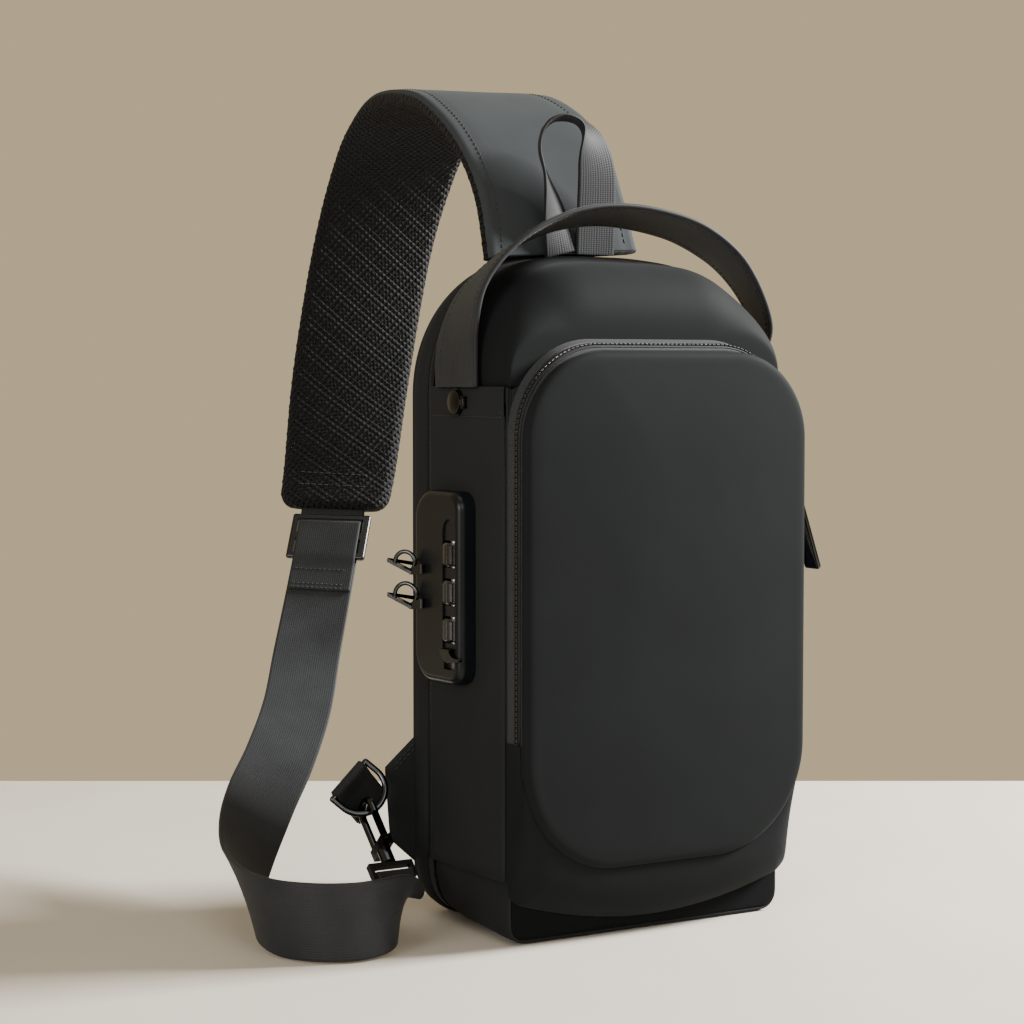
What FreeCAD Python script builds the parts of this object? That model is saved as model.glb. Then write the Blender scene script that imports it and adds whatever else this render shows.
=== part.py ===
"""A locking sling bag, 340 mm tall, standing on its base with its strap looped beside it.

Millimetres.  +Z is up, +X is the wearer's right when the bag is seen from the front (-Y),
and the origin is the middle of the base, on the floor.
"""
import FreeCAD, Part
import math
import os

# ---- bag body -------------------------------------------------------------------------
HALF_WIDTH = 83.0            # half of the body's width
BACK_Y = 46.7                # outer face of the back panel
FRONT_Y = -46.7              # outer face of the front wall
BACK_TOP = 340.0             # height of the back outline
FRONT_TOP = 336.0            # height of the front outline
BACK_R_TOP, BACK_R_BOTTOM = 70.0, 30.0
FRONT_R_TOP, FRONT_R_BOTTOM = 50.0, 10.0
ROLL = 30.0                  # radius with which the top rolls over on to the front
SKIN = 3.0                   # cloth, foam and lining together
ZIP_BACK, ZIP_FRONT = 31.0, 26.6   # main zip, as a slice across the depth
SEAM_Z = 32.0                # seam between the base and the side panels
HEM_Z = 273.5                # top edge of the side pocket
SIDE_POCKET = 1.2            # thickness of the side pocket's panel
HEM_FOLD = 17.0              # height of the side pocket's folded hem
PAD_DEPTH = 5.0              # how far the back pads stand out
CHIN_HALF, CHIN_DEPTH = 82.0, 9.0
CHIN_SIDE_Z, CHIN_MIDDLE_Z = 24.0, 9.0         # the smiling seam under the chin
SOLE_HALF = 50.0             # half of the flat part of the sole

# ---- front pocket ---------------------------------------------------------------------
POCKET_HALF, POCKET_BOTTOM, POCKET_TOP = 82.0, 37.0, 294.0
POCKET_R_TOP, POCKET_R_BOTTOM = 44.0, 55.0
POCKET_WALL_Y = -62.0        # front edge of the pocket's side wall
COVER_HALF, COVER_TOP = 85.0, 291.0
COVER_DEPTH = 5.0
POCKET_ZIP_END_Z = 101.0     # where the pocket's zip stops on each side

# ---- combination lock -----------------------------------------------------------------
LOCK_BACK, LOCK_FRONT = 25.0, -20.6
LOCK_BOTTOM, LOCK_TOP = 126.0, 222.0
LOCK_R_BACK, LOCK_R_FRONT = 15.0, 9.0
LOCK_EDGE = 4.0              # rounding of the case's outer edge
LOCK_BASE = 1.8              # thickness of the plate under the case
LOCK_DEPTH = 9.0             # depth of the case over its plate
DIAL_Y = -11.0
DIAL_ZS = (191.0, 172.2, 153.4)
DIAL_RADIUS, DIAL_LENGTH = 6.2, 11.6
DIAL_DEPTH = 3.4             # depth of the spindle's axis below the case's face
LEVER_LOW, LEVER_HIGH = 138.0, 144.0
LEVER_TRAVEL = 4.0
SPINDLE_RADIUS = 2.0
FIT = 0.05                   # radial clearance of a turning fit

# ---- webbing --------------------------------------------------------------------------
WEB = 1.8                    # thickness of strap webbing
WEB_WIDTH = 38.0
HANDLE_PLY, LOOP_PLY = 2.6, 1.6                # thickness of the handle and of the loop
BUCKLE_WIDTH, BUCKLE_LENGTH, BUCKLE_PLY = 47.0, 30.0, 3.6
BUCKLE_ROOM = 39.4                             # width of the buckle's two openings
PAD_LOW, PAD_MID, PAD_HIGH = -4.0, -1.4, 5.0   # faces of the pad, across its thickness

HOOK_ORIGIN = (-117.0, 8.0, 32.3)              # middle of the hook's webbing eye
HOOK_TILT = 45.0                               # degrees above horizontal, pointing back


def vec(x, y, z):
    return FreeCAD.Vector(x, y, z)


def box(x0, x1, y0, y1, z0, z1):
    return Part.makeBox(x1 - x0, y1 - y0, z1 - z0, vec(x0, y0, z0))


def rod(start, direction, radius, length):
    return Part.makeCylinder(radius, length, vec(*start), vec(*direction))


def clear_of(shape, other):
    """The largest solid that is left of a shape once another one is cut from it."""
    return max(shape.cut(other).Solids, key=lambda solid: solid.Volume)


def save(shape, name):
    solids = shape.Solids
    shape = solids[0] if len(solids) == 1 else Part.Compound(solids)
    shape.exportStep("parts/" + name + ".step")


# ---- outlines of the body -------------------------------------------------------------
def corner(cx, cz, radius, start, y):
    points = []
    for angle in (start, start + 45, start + 90):
        a = math.radians(angle)
        points.append(vec(cx + radius * math.cos(a), y, cz + radius * math.sin(a)))
    return Part.Arc(*points).toShape(), points[0], points[-1]


def outline(y, half, bottom, top, r_top, r_bottom):
    """A rounded rectangle in the plane at y, as four arcs joined by four lines."""
    corners = [corner(half - r_bottom, bottom + r_bottom, r_bottom, -90, y),
               corner(half - r_top, top - r_top, r_top, 0, y),
               corner(r_top - half, top - r_top, r_top, 90, y),
               corner(r_bottom - half, bottom + r_bottom, r_bottom, 180, y)]
    edges = []
    for here, after in zip(corners, corners[1:] + corners[:1]):
        edges.append(here[0])
        edges.append(Part.makeLine(here[2], after[1]))
    return Part.Wire(edges)


def roll_drop(y, inset):
    """How far below the top line a surface lies at depth y, where the top rolls forward."""
    reach = FRONT_Y + ROLL - y
    if reach <= 0:
        return inset
    return ROLL - math.sqrt(max(0.0, (ROLL - inset) ** 2 - reach ** 2))


def body_outline(y, inset):
    """The body's outline at depth y, between the front outline and the back one."""
    share = (y - FRONT_Y) / (BACK_Y - FRONT_Y)
    top = FRONT_TOP + share * (BACK_TOP - FRONT_TOP)
    r_top = FRONT_R_TOP + share * (BACK_R_TOP - FRONT_R_TOP)
    r_bottom = FRONT_R_BOTTOM + share * (BACK_R_BOTTOM - FRONT_R_BOTTOM)
    return outline(y, HALF_WIDTH - inset, inset, top - roll_drop(y, inset), r_top - inset,
                   r_bottom - inset)


ROLL_YS = (-45.6, -43.7, -41.0, -37.0, -31.0, -24.0, -16.7)


def body_slice(y0, y1, inset=0.0):
    depths = [y0] + [y for y in ROLL_YS if y0 + 0.1 < y < y1 - 0.1] + [y1]
    return Part.makeLoft([body_outline(y, inset) for y in depths], True, True)


def body_ring(y0, y1, outer=0.0, inner=SKIN):
    return body_slice(y0, y1, outer).cut(body_slice(y0, y1, inner))


def pocket_outline(y, inset, top=POCKET_TOP, half=POCKET_HALF):
    return outline(y, half - inset, POCKET_BOTTOM + inset, top - inset,
                   POCKET_R_TOP - inset, POCKET_R_BOTTOM - inset)


def pocket_slice(y0, y1, inset):
    return Part.makeLoft([pocket_outline(y0, inset), pocket_outline(y1, inset)], True, True)


# ---- body pieces ----------------------------------------------------------------------
def back_shell():
    save(body_slice(BACK_Y - SKIN, BACK_Y), "back_panel")
    save(body_ring(ZIP_BACK, BACK_Y - SKIN), "back_rim")


def back_pads():
    """Two raised air-mesh pads on the back panel with a channel between them."""
    for name, z0, z1, half in (("back_pad_upper", 178.0, 300.0, 56.0),
                               ("back_pad_lower", 40.0, 166.0, 62.0)):
        wire = outline(BACK_Y, half, z0, z1, 26.0, 26.0)
        pad = Part.Face(wire).extrude(vec(0, PAD_DEPTH, 0))
        rim = [edge for edge in pad.Edges if edge.BoundBox.YMin > BACK_Y + PAD_DEPTH - 0.01]
        save(pad.makeFillet(3.0, rim), name)


def main_zip():
    """The closed zip between the back shell and the gussets."""
    middle = (ZIP_FRONT + ZIP_BACK) / 2
    above_base = box(-100, 100, 20, 40, SEAM_Z, 360)
    groove = body_ring(middle - 1.4, middle + 1.4, -1.0, 1.2).common(above_base)
    save(body_ring(ZIP_FRONT, ZIP_BACK, 0.6, 2.0).cut(groove), "main_zip_tape")
    save(body_ring(middle - 1.3, middle + 1.3, 0.2, 1.2).common(above_base), "main_zip_teeth")


def gussets():
    ring = body_ring(FRONT_Y + SKIN, ZIP_FRONT)
    top = ring.common(box(-100, 100, -60, 60, HEM_Z, 360))
    save(top, "top_gusset")
    for name, x0, x1 in (("left_gusset", -100, 0), ("right_gusset", 0, 100)):
        save(ring.common(box(x0, x1, -60, 60, SEAM_Z, HEM_Z)), name)
    sole = box(-SOLE_HALF, SOLE_HALF, FRONT_Y + SKIN + 1, ZIP_FRONT - 1, 0, SKIN / 2)
    under = box(-SOLE_HALF, SOLE_HALF, FRONT_Y + SKIN + 1, ZIP_FRONT - 1, -5, SKIN / 2)
    base = ring.common(box(-100, 100, -60, 60, -5, SEAM_Z))
    save(base.cut(under).fuse(sole), "base_panel")


def front_wall():
    plate = body_slice(FRONT_Y, FRONT_Y + SKIN)
    save(plate.common(box(-100, 100, -60, 0, SEAM_Z, 360)), "front_wall")
    save(plate.common(box(-100, 100, -60, 0, -5, SEAM_Z)), "base_band")


def chin_panel():
    """The raised band under the pocket, with a smiling lower seam."""
    y = FRONT_Y - 0.05
    low_left, low_right = vec(-CHIN_HALF, y, CHIN_SIDE_Z), vec(CHIN_HALF, y, CHIN_SIDE_Z)
    top_left, top_right = (vec(x, y, POCKET_ZIP_END_Z) for x in (-CHIN_HALF, CHIN_HALF))
    low = Part.Arc(low_left, vec(0, y, CHIN_MIDDLE_Z), low_right).toShape()
    sides = [Part.makeLine(low_right, top_right), Part.makeLine(top_right, top_left),
             Part.makeLine(top_left, low_left)]
    block = Part.Face(Part.Wire([low] + sides)).extrude(vec(0, -CHIN_DEPTH, 0))
    save(block.cut(pocket_slice(FRONT_Y + 5, FRONT_Y - 20, -0.4)), "chin_panel")


def side_pocket():
    """The open pocket panel on the left side, under its folded hem."""
    x = -HALF_WIDTH
    panel = box(x - SIDE_POCKET, x, FRONT_Y + 4, ZIP_FRONT - 1.5, SEAM_Z + 1, HEM_Z - HEM_FOLD)
    save(panel, "side_pocket_panel")
    save(box(x - 2.0, x, FRONT_Y + 4, ZIP_FRONT - 1.5, HEM_Z - HEM_FOLD, HEM_Z), "side_pocket_hem")


# ---- front pocket ---------------------------------------------------------------------
def pocket_walls():
    zone = box(-100, 100, -80, 0, POCKET_ZIP_END_Z, 360)
    zip_front, zip_back = FRONT_Y - 11.0, FRONT_Y - 5.0
    wall = pocket_slice(FRONT_Y, POCKET_WALL_Y, 0).cut(pocket_slice(FRONT_Y, POCKET_WALL_Y, 2.5))
    band = pocket_slice(zip_back, zip_front, -1).cut(pocket_slice(zip_back, zip_front, 1.0))
    save(wall.cut(band.common(zone)), "pocket_side_wall")
    tape = pocket_slice(zip_back, zip_front, 0).cut(pocket_slice(zip_back, zip_front, 1.0))
    middle = (zip_front + zip_back) / 2
    tooth_zone = pocket_slice(middle + 1.3, middle - 1.3, -1).cut(
        pocket_slice(middle + 1.3, middle - 1.3, 0.5))
    save(tape.common(zone).cut(tooth_zone), "pocket_zip_tape")
    teeth = pocket_slice(middle + 1.2, middle - 1.2, -0.4).cut(
        pocket_slice(middle + 1.2, middle - 1.2, 0.5))
    save(teeth.common(zone), "pocket_zip_teeth")


def pocket_cover():
    wire = pocket_outline(POCKET_WALL_Y, 0, COVER_TOP, COVER_HALF)
    cover = Part.Face(wire).extrude(vec(0, -COVER_DEPTH, 0))
    rim = [edge for edge in cover.Edges if edge.BoundBox.YMax < POCKET_WALL_Y - COVER_DEPTH + 0.01]
    save(cover.makeFillet(3.5, rim), "pocket_cover")


# ---- usb port -------------------------------------------------------------------------
USB_Y, USB_Z = -3.0, 266.0
USB_RADIUS, USB_HOLE = 7.0, 4.4        # of the rubber grommet
USB_CAP, USB_PLUG = 6.2, 3.9           # radii of the plug's disc and of its stem
USB_PIN = 0.7


def usb_port():
    """A rubber grommet with a domed plug that hinges on one side of it."""
    x, y, z = -HALF_WIDTH - 2.0, USB_Y, USB_Z
    hinge_x, hinge_y = x - 2.2, y - 9.2
    ring = rod((x, y, z), (-1, 0, 0), USB_RADIUS, 1.6)
    ring = ring.cut(rod((x, y, z), (-1, 0, 0), USB_HOLE, 1.6))
    foot = box(x - 0.6, x, hinge_y - 1.2, y - 6.0, z - 3.0, z + 3.0)
    cheeks = [box(x - 3.4, x, hinge_y - 1.2, hinge_y + 1.2, z + low, z + low + 1.0)
              for low in (-3.0, 2.0)]
    pin = rod((hinge_x, hinge_y, z - 3.0), (0, 0, 1), USB_PIN, 6.0)
    save(ring.fuse([foot] + cheeks + [pin]), "usb_port_housing")
    face = x - 1.7
    disc = rod((face, y, z), (-1, 0, 0), USB_CAP, 1.2)
    ball = Part.makeSphere(18.0, vec(face + 15.9, y, z))
    dome = ball.common(rod((face - 1.1, y, z), (-1, 0, 0), 5.6, 2.0))
    plug = rod((face, y, z), (1, 0, 0), USB_PLUG, 1.4)
    strap = box(face - 1.2, face, hinge_y, y, z - 1.5, z + 1.5)
    barrel = rod((hinge_x, hinge_y, z - 1.6), (0, 0, 1), 1.4, 3.2)
    bore = rod((hinge_x, hinge_y, z - 2.0), (0, 0, 1), USB_PIN + FIT, 4.0)
    save(disc.fuse([dome, plug, strap, barrel]).cut(bore), "usb_port_cap")


# ---- ribbons: webbing and padded strap ------------------------------------------------
def eased(values, count):
    """Points on a smooth curve through the given ones, count to a span."""
    ends = [values[0]] + list(values) + [values[-1]]
    result = []
    for i in range(1, len(ends) - 2):
        a, b, c, d = ends[i - 1:i + 3]
        for step in range(count):
            t = step / count
            result.append(tuple(
                0.5 * (2 * q + (r - p) * t + (2 * p - 5 * q + 4 * r - s) * t * t
                       + (3 * q - p - 3 * r + s) * t * t * t)
                for p, q, r, s in zip(a, b, c, d)))
    result.append(tuple(values[-1]))
    return result


def ribbon(stations, low, high, count=3):
    """A flat band through stations of x, y, z, width direction, width."""
    rows = eased(stations, count)
    points = [vec(*row[:3]) for row in rows]
    wires = []
    for i, row in enumerate(rows):
        along = points[min(i + 1, len(rows) - 1)] - points[max(i - 1, 0)]
        across = vec(*row[3:6])
        along.normalize()
        across = across - along * across.dot(along)
        across.normalize()
        out = across.cross(along)
        half = row[6] / 2
        corners = [points[i] + across * side * half + out * level
                   for side, level in ((-1, low), (1, low), (1, high), (-1, high))]
        wires.append(Part.makePolygon(corners + corners[:1]))
    return Part.makeLoft(wires, True, True)


PAD_ROUTE = (
    (0, 34, 342, 1, 0, 0, 94), (-2, 42, 372, 1, 0, 0.04, 90), (-4, 54, 396, 1, -0.06, 0.08, 87),
    (-5, 78, 416, 1, -0.12, 0.06, 84), (-4, 115, 430, 1, -0.14, 0.02, 80),
    (-1, 166, 431, 1, -0.13, -0.06, 77), (1, 201, 416, 1, -0.16, -0.09, 74),
    (2, 223, 394, 1, -0.22, -0.11, 72), (0, 239, 362, 1, -0.3, -0.11, 70),
    (-5, 247, 321, 1, -0.42, -0.09, 69), (-15, 245, 271, 1, -0.6, -0.08, 68),
    (-27, 234, 226, 1, -0.8, -0.06, 66), (-37, 224, 200, 1, -0.9, -0.05, 64),
)

WEB_ROUTE = (
    (-40, 221, 192), (-58, 202, 155), (-76, 182, 122), (-94, 159, 95), (-116, 136, 72),
    (-139, 112, 55), (-162, 82, 39), (-180, 50, 27), (-189, 20, 21.5), (-189, -6, 20),
    (-179, -25, 20), (-162, -35, 20), (-145, -34, 20.5), (-131, -25, 21), (-122, -12, 21),
    (-117, -1.8, 22),
)
WEB_ACROSS = (
    (0.74, -0.68, -0.03), (0.76, -0.64, -0.06), (0.8, -0.59, -0.11), (0.82, -0.53, -0.2),
    (0.83, -0.46, -0.32), (0.79, -0.37, -0.47), (0.64, -0.26, -0.72), (0.4, -0.2, -0.9),
    (0.2, -0.12, -0.97), (0.12, -0.1, -0.99), (0.1, -0.06, -0.99), (0.1, 0, -0.99),
    (0.1, 0.04, -0.99), (-0.1, 0.06, -0.99), (-0.6, 0.1, -0.79), (-0.98, 0.05, 0.15),
)
WEB_WIDTHS = (38,) * 12 + (37, 34, 27, 20)

# x, y, z of the handle's middle line, then its lean and its twist in degrees
HANDLE_ROUTE = (
    (-86.8, -4.5, HEM_Z, 0, 0), (-86.8, -4.5, 288, 0, 0), (-85, -5, 304, 2, 4),
    (-78.5, -5, 321, 5, 10), (-65.5, -6, 336, 8, 14), (-47.5, -8, 349, 10, 15),
    (-26, -9, 357.5, 11, 15), (-2, -9, 361, 11, 15), (24, -9, 359.5, 11, 15),
    (51, -9, 353, 11, 17), (75, -8, 340, 10, 20), (93, -6, 322, 7, 23),
    (102.5, -4, 304, 4, 23), (99.5, -2, 289, 0, 20), (86.8, -1, HEM_Z, 0, 12),
)
HANDLE_WIDTH = 38.0

LOOP_ROUTE = (
    (-4.5, 27.4, 342.4, 1, 0.02, 0, 20), (-9, 26.5, 362, 0.9, 0.4, 0, 21),
    (-15.5, 25, 382, 0.6, 0.8, 0, 23), (-20, 24, 397, 0.52, 0.85, 0, 24),
    (-17.5, 23, 407, 0.5, 0.86, 0, 24), (-9, 22.5, 412, 0.52, 0.85, 0, 24),
    (2, 22.5, 410, 0.75, 0.66, -0.1, 24), (10.5, 23, 401, 0.92, 0.38, -0.1, 24),
    (15.5, 24.5, 387, 1, 0.1, 0, 24), (16.5, 26, 367, 1, 0.02, 0, 24),
    (16.5, 27.4, 342.4, 1, 0.02, 0, 24),
)


def shoulder_pad():
    pad = ribbon(PAD_ROUTE, PAD_MID, PAD_HIGH)
    save(pad, "strap_pad")
    save(ribbon(PAD_ROUTE, PAD_LOW, PAD_MID), "strap_mesh")
    return pad


def strap_webbing(pad):
    stations = [point + across + (width,)
                for point, across, width in zip(WEB_ROUTE, WEB_ACROSS, WEB_WIDTHS)]
    pad_end = PAD_ROUTE[-1]
    start = pad_end[:6] + (WEB_WIDTH,)
    tongue = clear_of(ribbon([start, stations[0]], -WEB / 2, WEB / 2, 2), pad)
    webbing = clear_of(ribbon(stations, -WEB / 2, WEB / 2), tongue)
    save(tongue, "strap_tongue")
    save(webbing, "strap_webbing")
    return tongue, webbing


def handle():
    stations = []
    for x, y, z, lean, twist in HANDLE_ROUTE:
        lean, twist = math.radians(lean), math.radians(twist)
        across = (math.sin(twist) * math.cos(lean), math.cos(twist) * math.cos(lean),
                  -math.sin(lean))
        stations.append((x, y, z) + across + (HANDLE_WIDTH,))
    save(ribbon(stations, -HANDLE_PLY / 2, HANDLE_PLY / 2), "carry_handle")


def hang_loop():
    save(ribbon(LOOP_ROUTE, -LOOP_PLY / 2, LOOP_PLY / 2), "hang_loop")


def adjuster(tongue, webbing):
    """The slide buckle: an oval frame and a bar across it, near the pad's end."""
    here, after = vec(*WEB_ROUTE[0]), vec(*WEB_ROUTE[1])
    along = after - here
    along.normalize()
    across = vec(*WEB_ACROSS[0])
    across = across - along * across.dot(along)
    across.normalize()
    out = across.cross(along)
    centre = here + along * 9.0
    frame = Part.makeBox(BUCKLE_WIDTH, BUCKLE_LENGTH, BUCKLE_PLY,
                         vec(-BUCKLE_WIDTH / 2, -BUCKLE_LENGTH / 2, -BUCKLE_PLY / 2))
    frame = frame.makeFillet(1.5, frame.Edges)
    for y in (-11.5, 2.0):
        frame = frame.cut(Part.makeBox(BUCKLE_ROOM, 9.5, 8, vec(-BUCKLE_ROOM / 2, y, -4)))
    matrix = FreeCAD.Matrix(across.x, along.x, out.x, centre.x,
                            across.y, along.y, out.y, centre.y,
                            across.z, along.z, out.z, centre.z, 0, 0, 0, 1)
    frame.Placement = FreeCAD.Placement(matrix)
    save(frame.cut(tongue.fuse(webbing)), "adjuster")


# ---- wings and d-rings ----------------------------------------------------------------
RING_WIRE = 1.6              # radius of a ring's wire
TAB_PLY = 1.5                # thickness of the webbing folded round a bar
RING_BAR = vec(-122.0, 44.0, 73.0)
RING_ACROSS = vec(0.73, 0.0, 0.683)
RING_DOWN = vec(0.56, -0.56, -0.61)


def placed(shape, origin, across, down):
    """Moves a shape from its own x (across) and y (down) into the bag."""
    across = vec(across.x, across.y, across.z)
    across.normalize()
    down = down - across * down.dot(across)
    down.normalize()
    out = across.cross(down)
    matrix = FreeCAD.Matrix(across.x, down.x, out.x, origin.x,
                            across.y, down.y, out.y, origin.y,
                            across.z, down.z, out.z, origin.z, 0, 0, 0, 1)
    shape.Placement = FreeCAD.Placement(matrix)
    return shape


def d_ring_shape():
    wire_radius, half, straight = RING_WIRE, 13.0, 7.0
    bar = rod((-half, 0, 0), (1, 0, 0), wire_radius, 2 * half)
    start, end = vec(half, 0, 0), vec(-half, 0, 0)
    path = Part.Wire([
        Part.makeLine(start, vec(half, straight, 0)),
        Part.Arc(vec(half, straight, 0), vec(0, straight + half, 0),
                 vec(-half, straight, 0)).toShape(),
        Part.makeLine(vec(-half, straight, 0), end)])
    section = Part.Wire([Part.makeCircle(wire_radius, start, vec(0, 1, 0))])
    bow = path.makePipeShell([section], True, False)
    knobs = [Part.makeSphere(wire_radius, p) for p in (start, end)]
    return bow.fuse([bar] + knobs)


def ring_tab(width, length):
    """Webbing folded round the ring's bar: two plies and a round fold, with a bore."""
    bore = RING_WIRE + FIT
    outer = bore + TAB_PLY
    fold = rod((-width / 2, 0, 0), (1, 0, 0), outer, width)
    plies = Part.makeBox(width, length, 2 * outer, vec(-width / 2, 0, -outer))
    tab = fold.fuse(plies).cut(rod((-width, 0, 0), (1, 0, 0), bore, 2 * width))
    slit = Part.makeBox(width, length, 0.4, vec(-width / 2, bore - 0.2, -0.2))
    return tab.cut(slit)


def wing(side, name):
    """A triangle of cloth sewn into the back seam at the bottom of one side."""
    x = side * (HALF_WIDTH + 0.2)
    y = BACK_Y - 4.0
    points = [vec(x, y, 93), vec(side * 101, y, 78), vec(side * 98, y, 40), vec(x, y, 27)]
    face = Part.Face(Part.makePolygon(points + points[:1]))
    return face.extrude(vec(0, 3.0, 0)), name


def left_ring():
    tab = placed(ring_tab(22.0, 22.0), RING_BAR, RING_ACROSS, vec(0.65, 0.15, -0.73))
    save(placed(d_ring_shape(), RING_BAR, RING_ACROSS, RING_DOWN), "d_ring_left")
    cloth, name = wing(-1, "wing_tab_left")
    save(cloth, name)
    save(tab.cut(cloth), "ring_tab_left")


def right_ring():
    across, down = vec(0, 0, 1), vec(1, 0, 0)
    origin = vec(116.0, BACK_Y - 2.5, 59.0)
    tab = placed(ring_tab(22.0, 16.0), origin, across, vec(-1, 0, 0))
    save(placed(d_ring_shape(), origin, across, down), "d_ring_right")
    cloth, name = wing(1, "wing_tab_right")
    save(cloth, name)
    save(tab.cut(cloth), "ring_tab_right")


# ---- snap hook ------------------------------------------------------------------------
HOOK_WIRE = 1.9
EYE_BAR = -3.2               # the bar that the strap's end folds round
EYE_WIDTH, EYE_ROOM = 24.6, 20.8       # the eye's frame, outside and inside
HOOK_BEND = 6.6
HOOK_ARCH = 35.0             # distance from the eye to the middle of the hook's arch
NOSE_END = HOOK_ARCH - 3.5
GATE_PIVOT = 17.5


def hooked(shape):
    """Moves a shape from the hook's own frame, where y runs from the eye to the arch."""
    place = FreeCAD.Placement(vec(*HOOK_ORIGIN), FreeCAD.Rotation(vec(1, 0, 0), HOOK_TILT))
    shape.Placement = place
    return shape


def snap_hook(webbing):
    eye = Part.makeBox(EYE_WIDTH, 9.0, 3.6, vec(-EYE_WIDTH / 2, -4.5, -1.8))
    eye = eye.cut(Part.makeBox(EYE_ROOM, 7.0, 8, vec(-EYE_ROOM / 2, -5.0, -4)))
    eye = eye.fuse(rod((0.5 - EYE_WIDTH / 2, EYE_BAR, 0), (1, 0, 0), 1.6, EYE_WIDTH - 1.0))
    eye = eye.fuse(rod((0, 4.0, 0), (0, 1, 0), 1.6, 5.0)).fuse(rod((0, 9.0, 0), (0, 1, 0), 2.4, 1.2))
    save(hooked(eye), "snap_hook_eye")
    end = ring_tab(20.0, 8.0)
    end.Placement = FreeCAD.Placement(vec(0, EYE_BAR, 0), FreeCAD.Rotation(vec(1, 0, 0), 180))
    end.Placement = FreeCAD.Placement(vec(*HOOK_ORIGIN), FreeCAD.Rotation(
        vec(1, 0, 0), HOOK_TILT)).multiply(end.Placement)
    save(clear_of(end, webbing), "strap_end_fold")
    barrel = rod((0, 4.8, 0), (0, 1, 0), 3.6, 7.2)
    barrel = barrel.cut(rod((0, 4.0, 0), (0, 1, 0), 1.6 + FIT, 5.1))
    barrel = barrel.cut(rod((0, 8.95, 0), (0, 1, 0), 2.4 + FIT, 1.3))
    foot = Part.makeBox(5.0, 6.0, 2 * HOOK_BEND + 3, vec(-2.5, 11.5, -HOOK_BEND - 1.9))
    path = Part.Wire([
        Part.makeLine(vec(0, 14, -HOOK_BEND), vec(0, HOOK_ARCH, -HOOK_BEND)),
        Part.Arc(vec(0, HOOK_ARCH, -HOOK_BEND), vec(0, HOOK_ARCH + HOOK_BEND, 0),
                 vec(0, HOOK_ARCH, HOOK_BEND)).toShape(),
        Part.makeLine(vec(0, HOOK_ARCH, HOOK_BEND), vec(0, NOSE_END, HOOK_BEND))])
    circle = Part.Wire([Part.makeCircle(HOOK_WIRE, vec(0, 14, -HOOK_BEND), vec(0, 1, 0))])
    bow = path.makePipeShell([circle], True, False)
    body = barrel.fuse([foot, bow])
    slot = Part.makeBox(3.4, 5.2, 8.2, vec(-1.7, 14.3, HOOK_BEND - 3.8))
    body = body.cut(slot).fuse(rod((-2.5, GATE_PIVOT - 1.2, HOOK_BEND - 0.6), (1, 0, 0), 0.8, 5))
    save(hooked(body), "snap_hook_body")
    gate = Part.makeBox(3.0, NOSE_END - GATE_PIVOT + 0.2, 2.4,
                        vec(-1.5, GATE_PIVOT - 0.6, HOOK_BEND - 1.8))
    eyelet = rod((-1.5, GATE_PIVOT - 1.2, HOOK_BEND - 0.6), (1, 0, 0), 1.5, 3.0)
    bore = rod((-3, GATE_PIVOT - 1.2, HOOK_BEND - 0.6), (1, 0, 0), 0.8 + FIT, 6)
    save(hooked(gate.fuse(eyelet).cut(bore)), "snap_hook_gate")


# ---- lock -----------------------------------------------------------------------------
def lock_outline(x, inset):
    """The case's outline at x, with broad round corners at the back."""
    y_back, y_front = LOCK_BACK - inset, LOCK_FRONT + inset
    z_low, z_high = LOCK_BOTTOM + inset, LOCK_TOP - inset
    r_back, r_front = LOCK_R_BACK - inset, LOCK_R_FRONT - inset
    corners = ((y_back - r_back, z_low + r_back, r_back, -90),
               (y_back - r_back, z_high - r_back, r_back, 0),
               (y_front + r_front, z_high - r_front, r_front, 90),
               (y_front + r_front, z_low + r_front, r_front, 180))
    arcs = []
    for cy, cz, radius, start in corners:
        points = [vec(x, cy + radius * math.cos(math.radians(start + turn)),
                      cz + radius * math.sin(math.radians(start + turn))) for turn in (0, 45, 90)]
        arcs.append((Part.Arc(*points).toShape(), points[0], points[-1]))
    edges = []
    for here, after in zip(arcs, arcs[1:] + arcs[:1]):
        edges.append(here[0])
        edges.append(Part.makeLine(here[2], after[1]))
    return Part.Wire(edges)


LOCK_X = -HALF_WIDTH - SIDE_POCKET     # inner face of the lock's base plate
CASE_X = LOCK_X - LOCK_BASE
FACE_X = CASE_X - LOCK_DEPTH
FACE_WALL = 2.4
SPINDLE_X = FACE_X + DIAL_DEPTH
SPINDLE_LOW, SPINDLE_HIGH = DIAL_ZS[2] - 8.6, DIAL_ZS[0] + 8.8


def dial_room(z):
    """The round hollow that a dial turns in."""
    half = DIAL_LENGTH / 2 + 0.9
    return rod((SPINDLE_X, DIAL_Y, z - half), (0, 0, 1), DIAL_RADIUS + 0.4, 2 * half)


def spindle_webs():
    between = [(a + b) / 2 for a, b in zip(DIAL_ZS, DIAL_ZS[1:])]
    webs = []
    for z in [SPINDLE_HIGH - 1.0] + between + [SPINDLE_LOW + 0.9]:
        webs.append(box(FACE_X + 2.0, CASE_X, DIAL_Y - 4, DIAL_Y + 4, z - 0.9, z + 0.9))
    return webs


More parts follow.
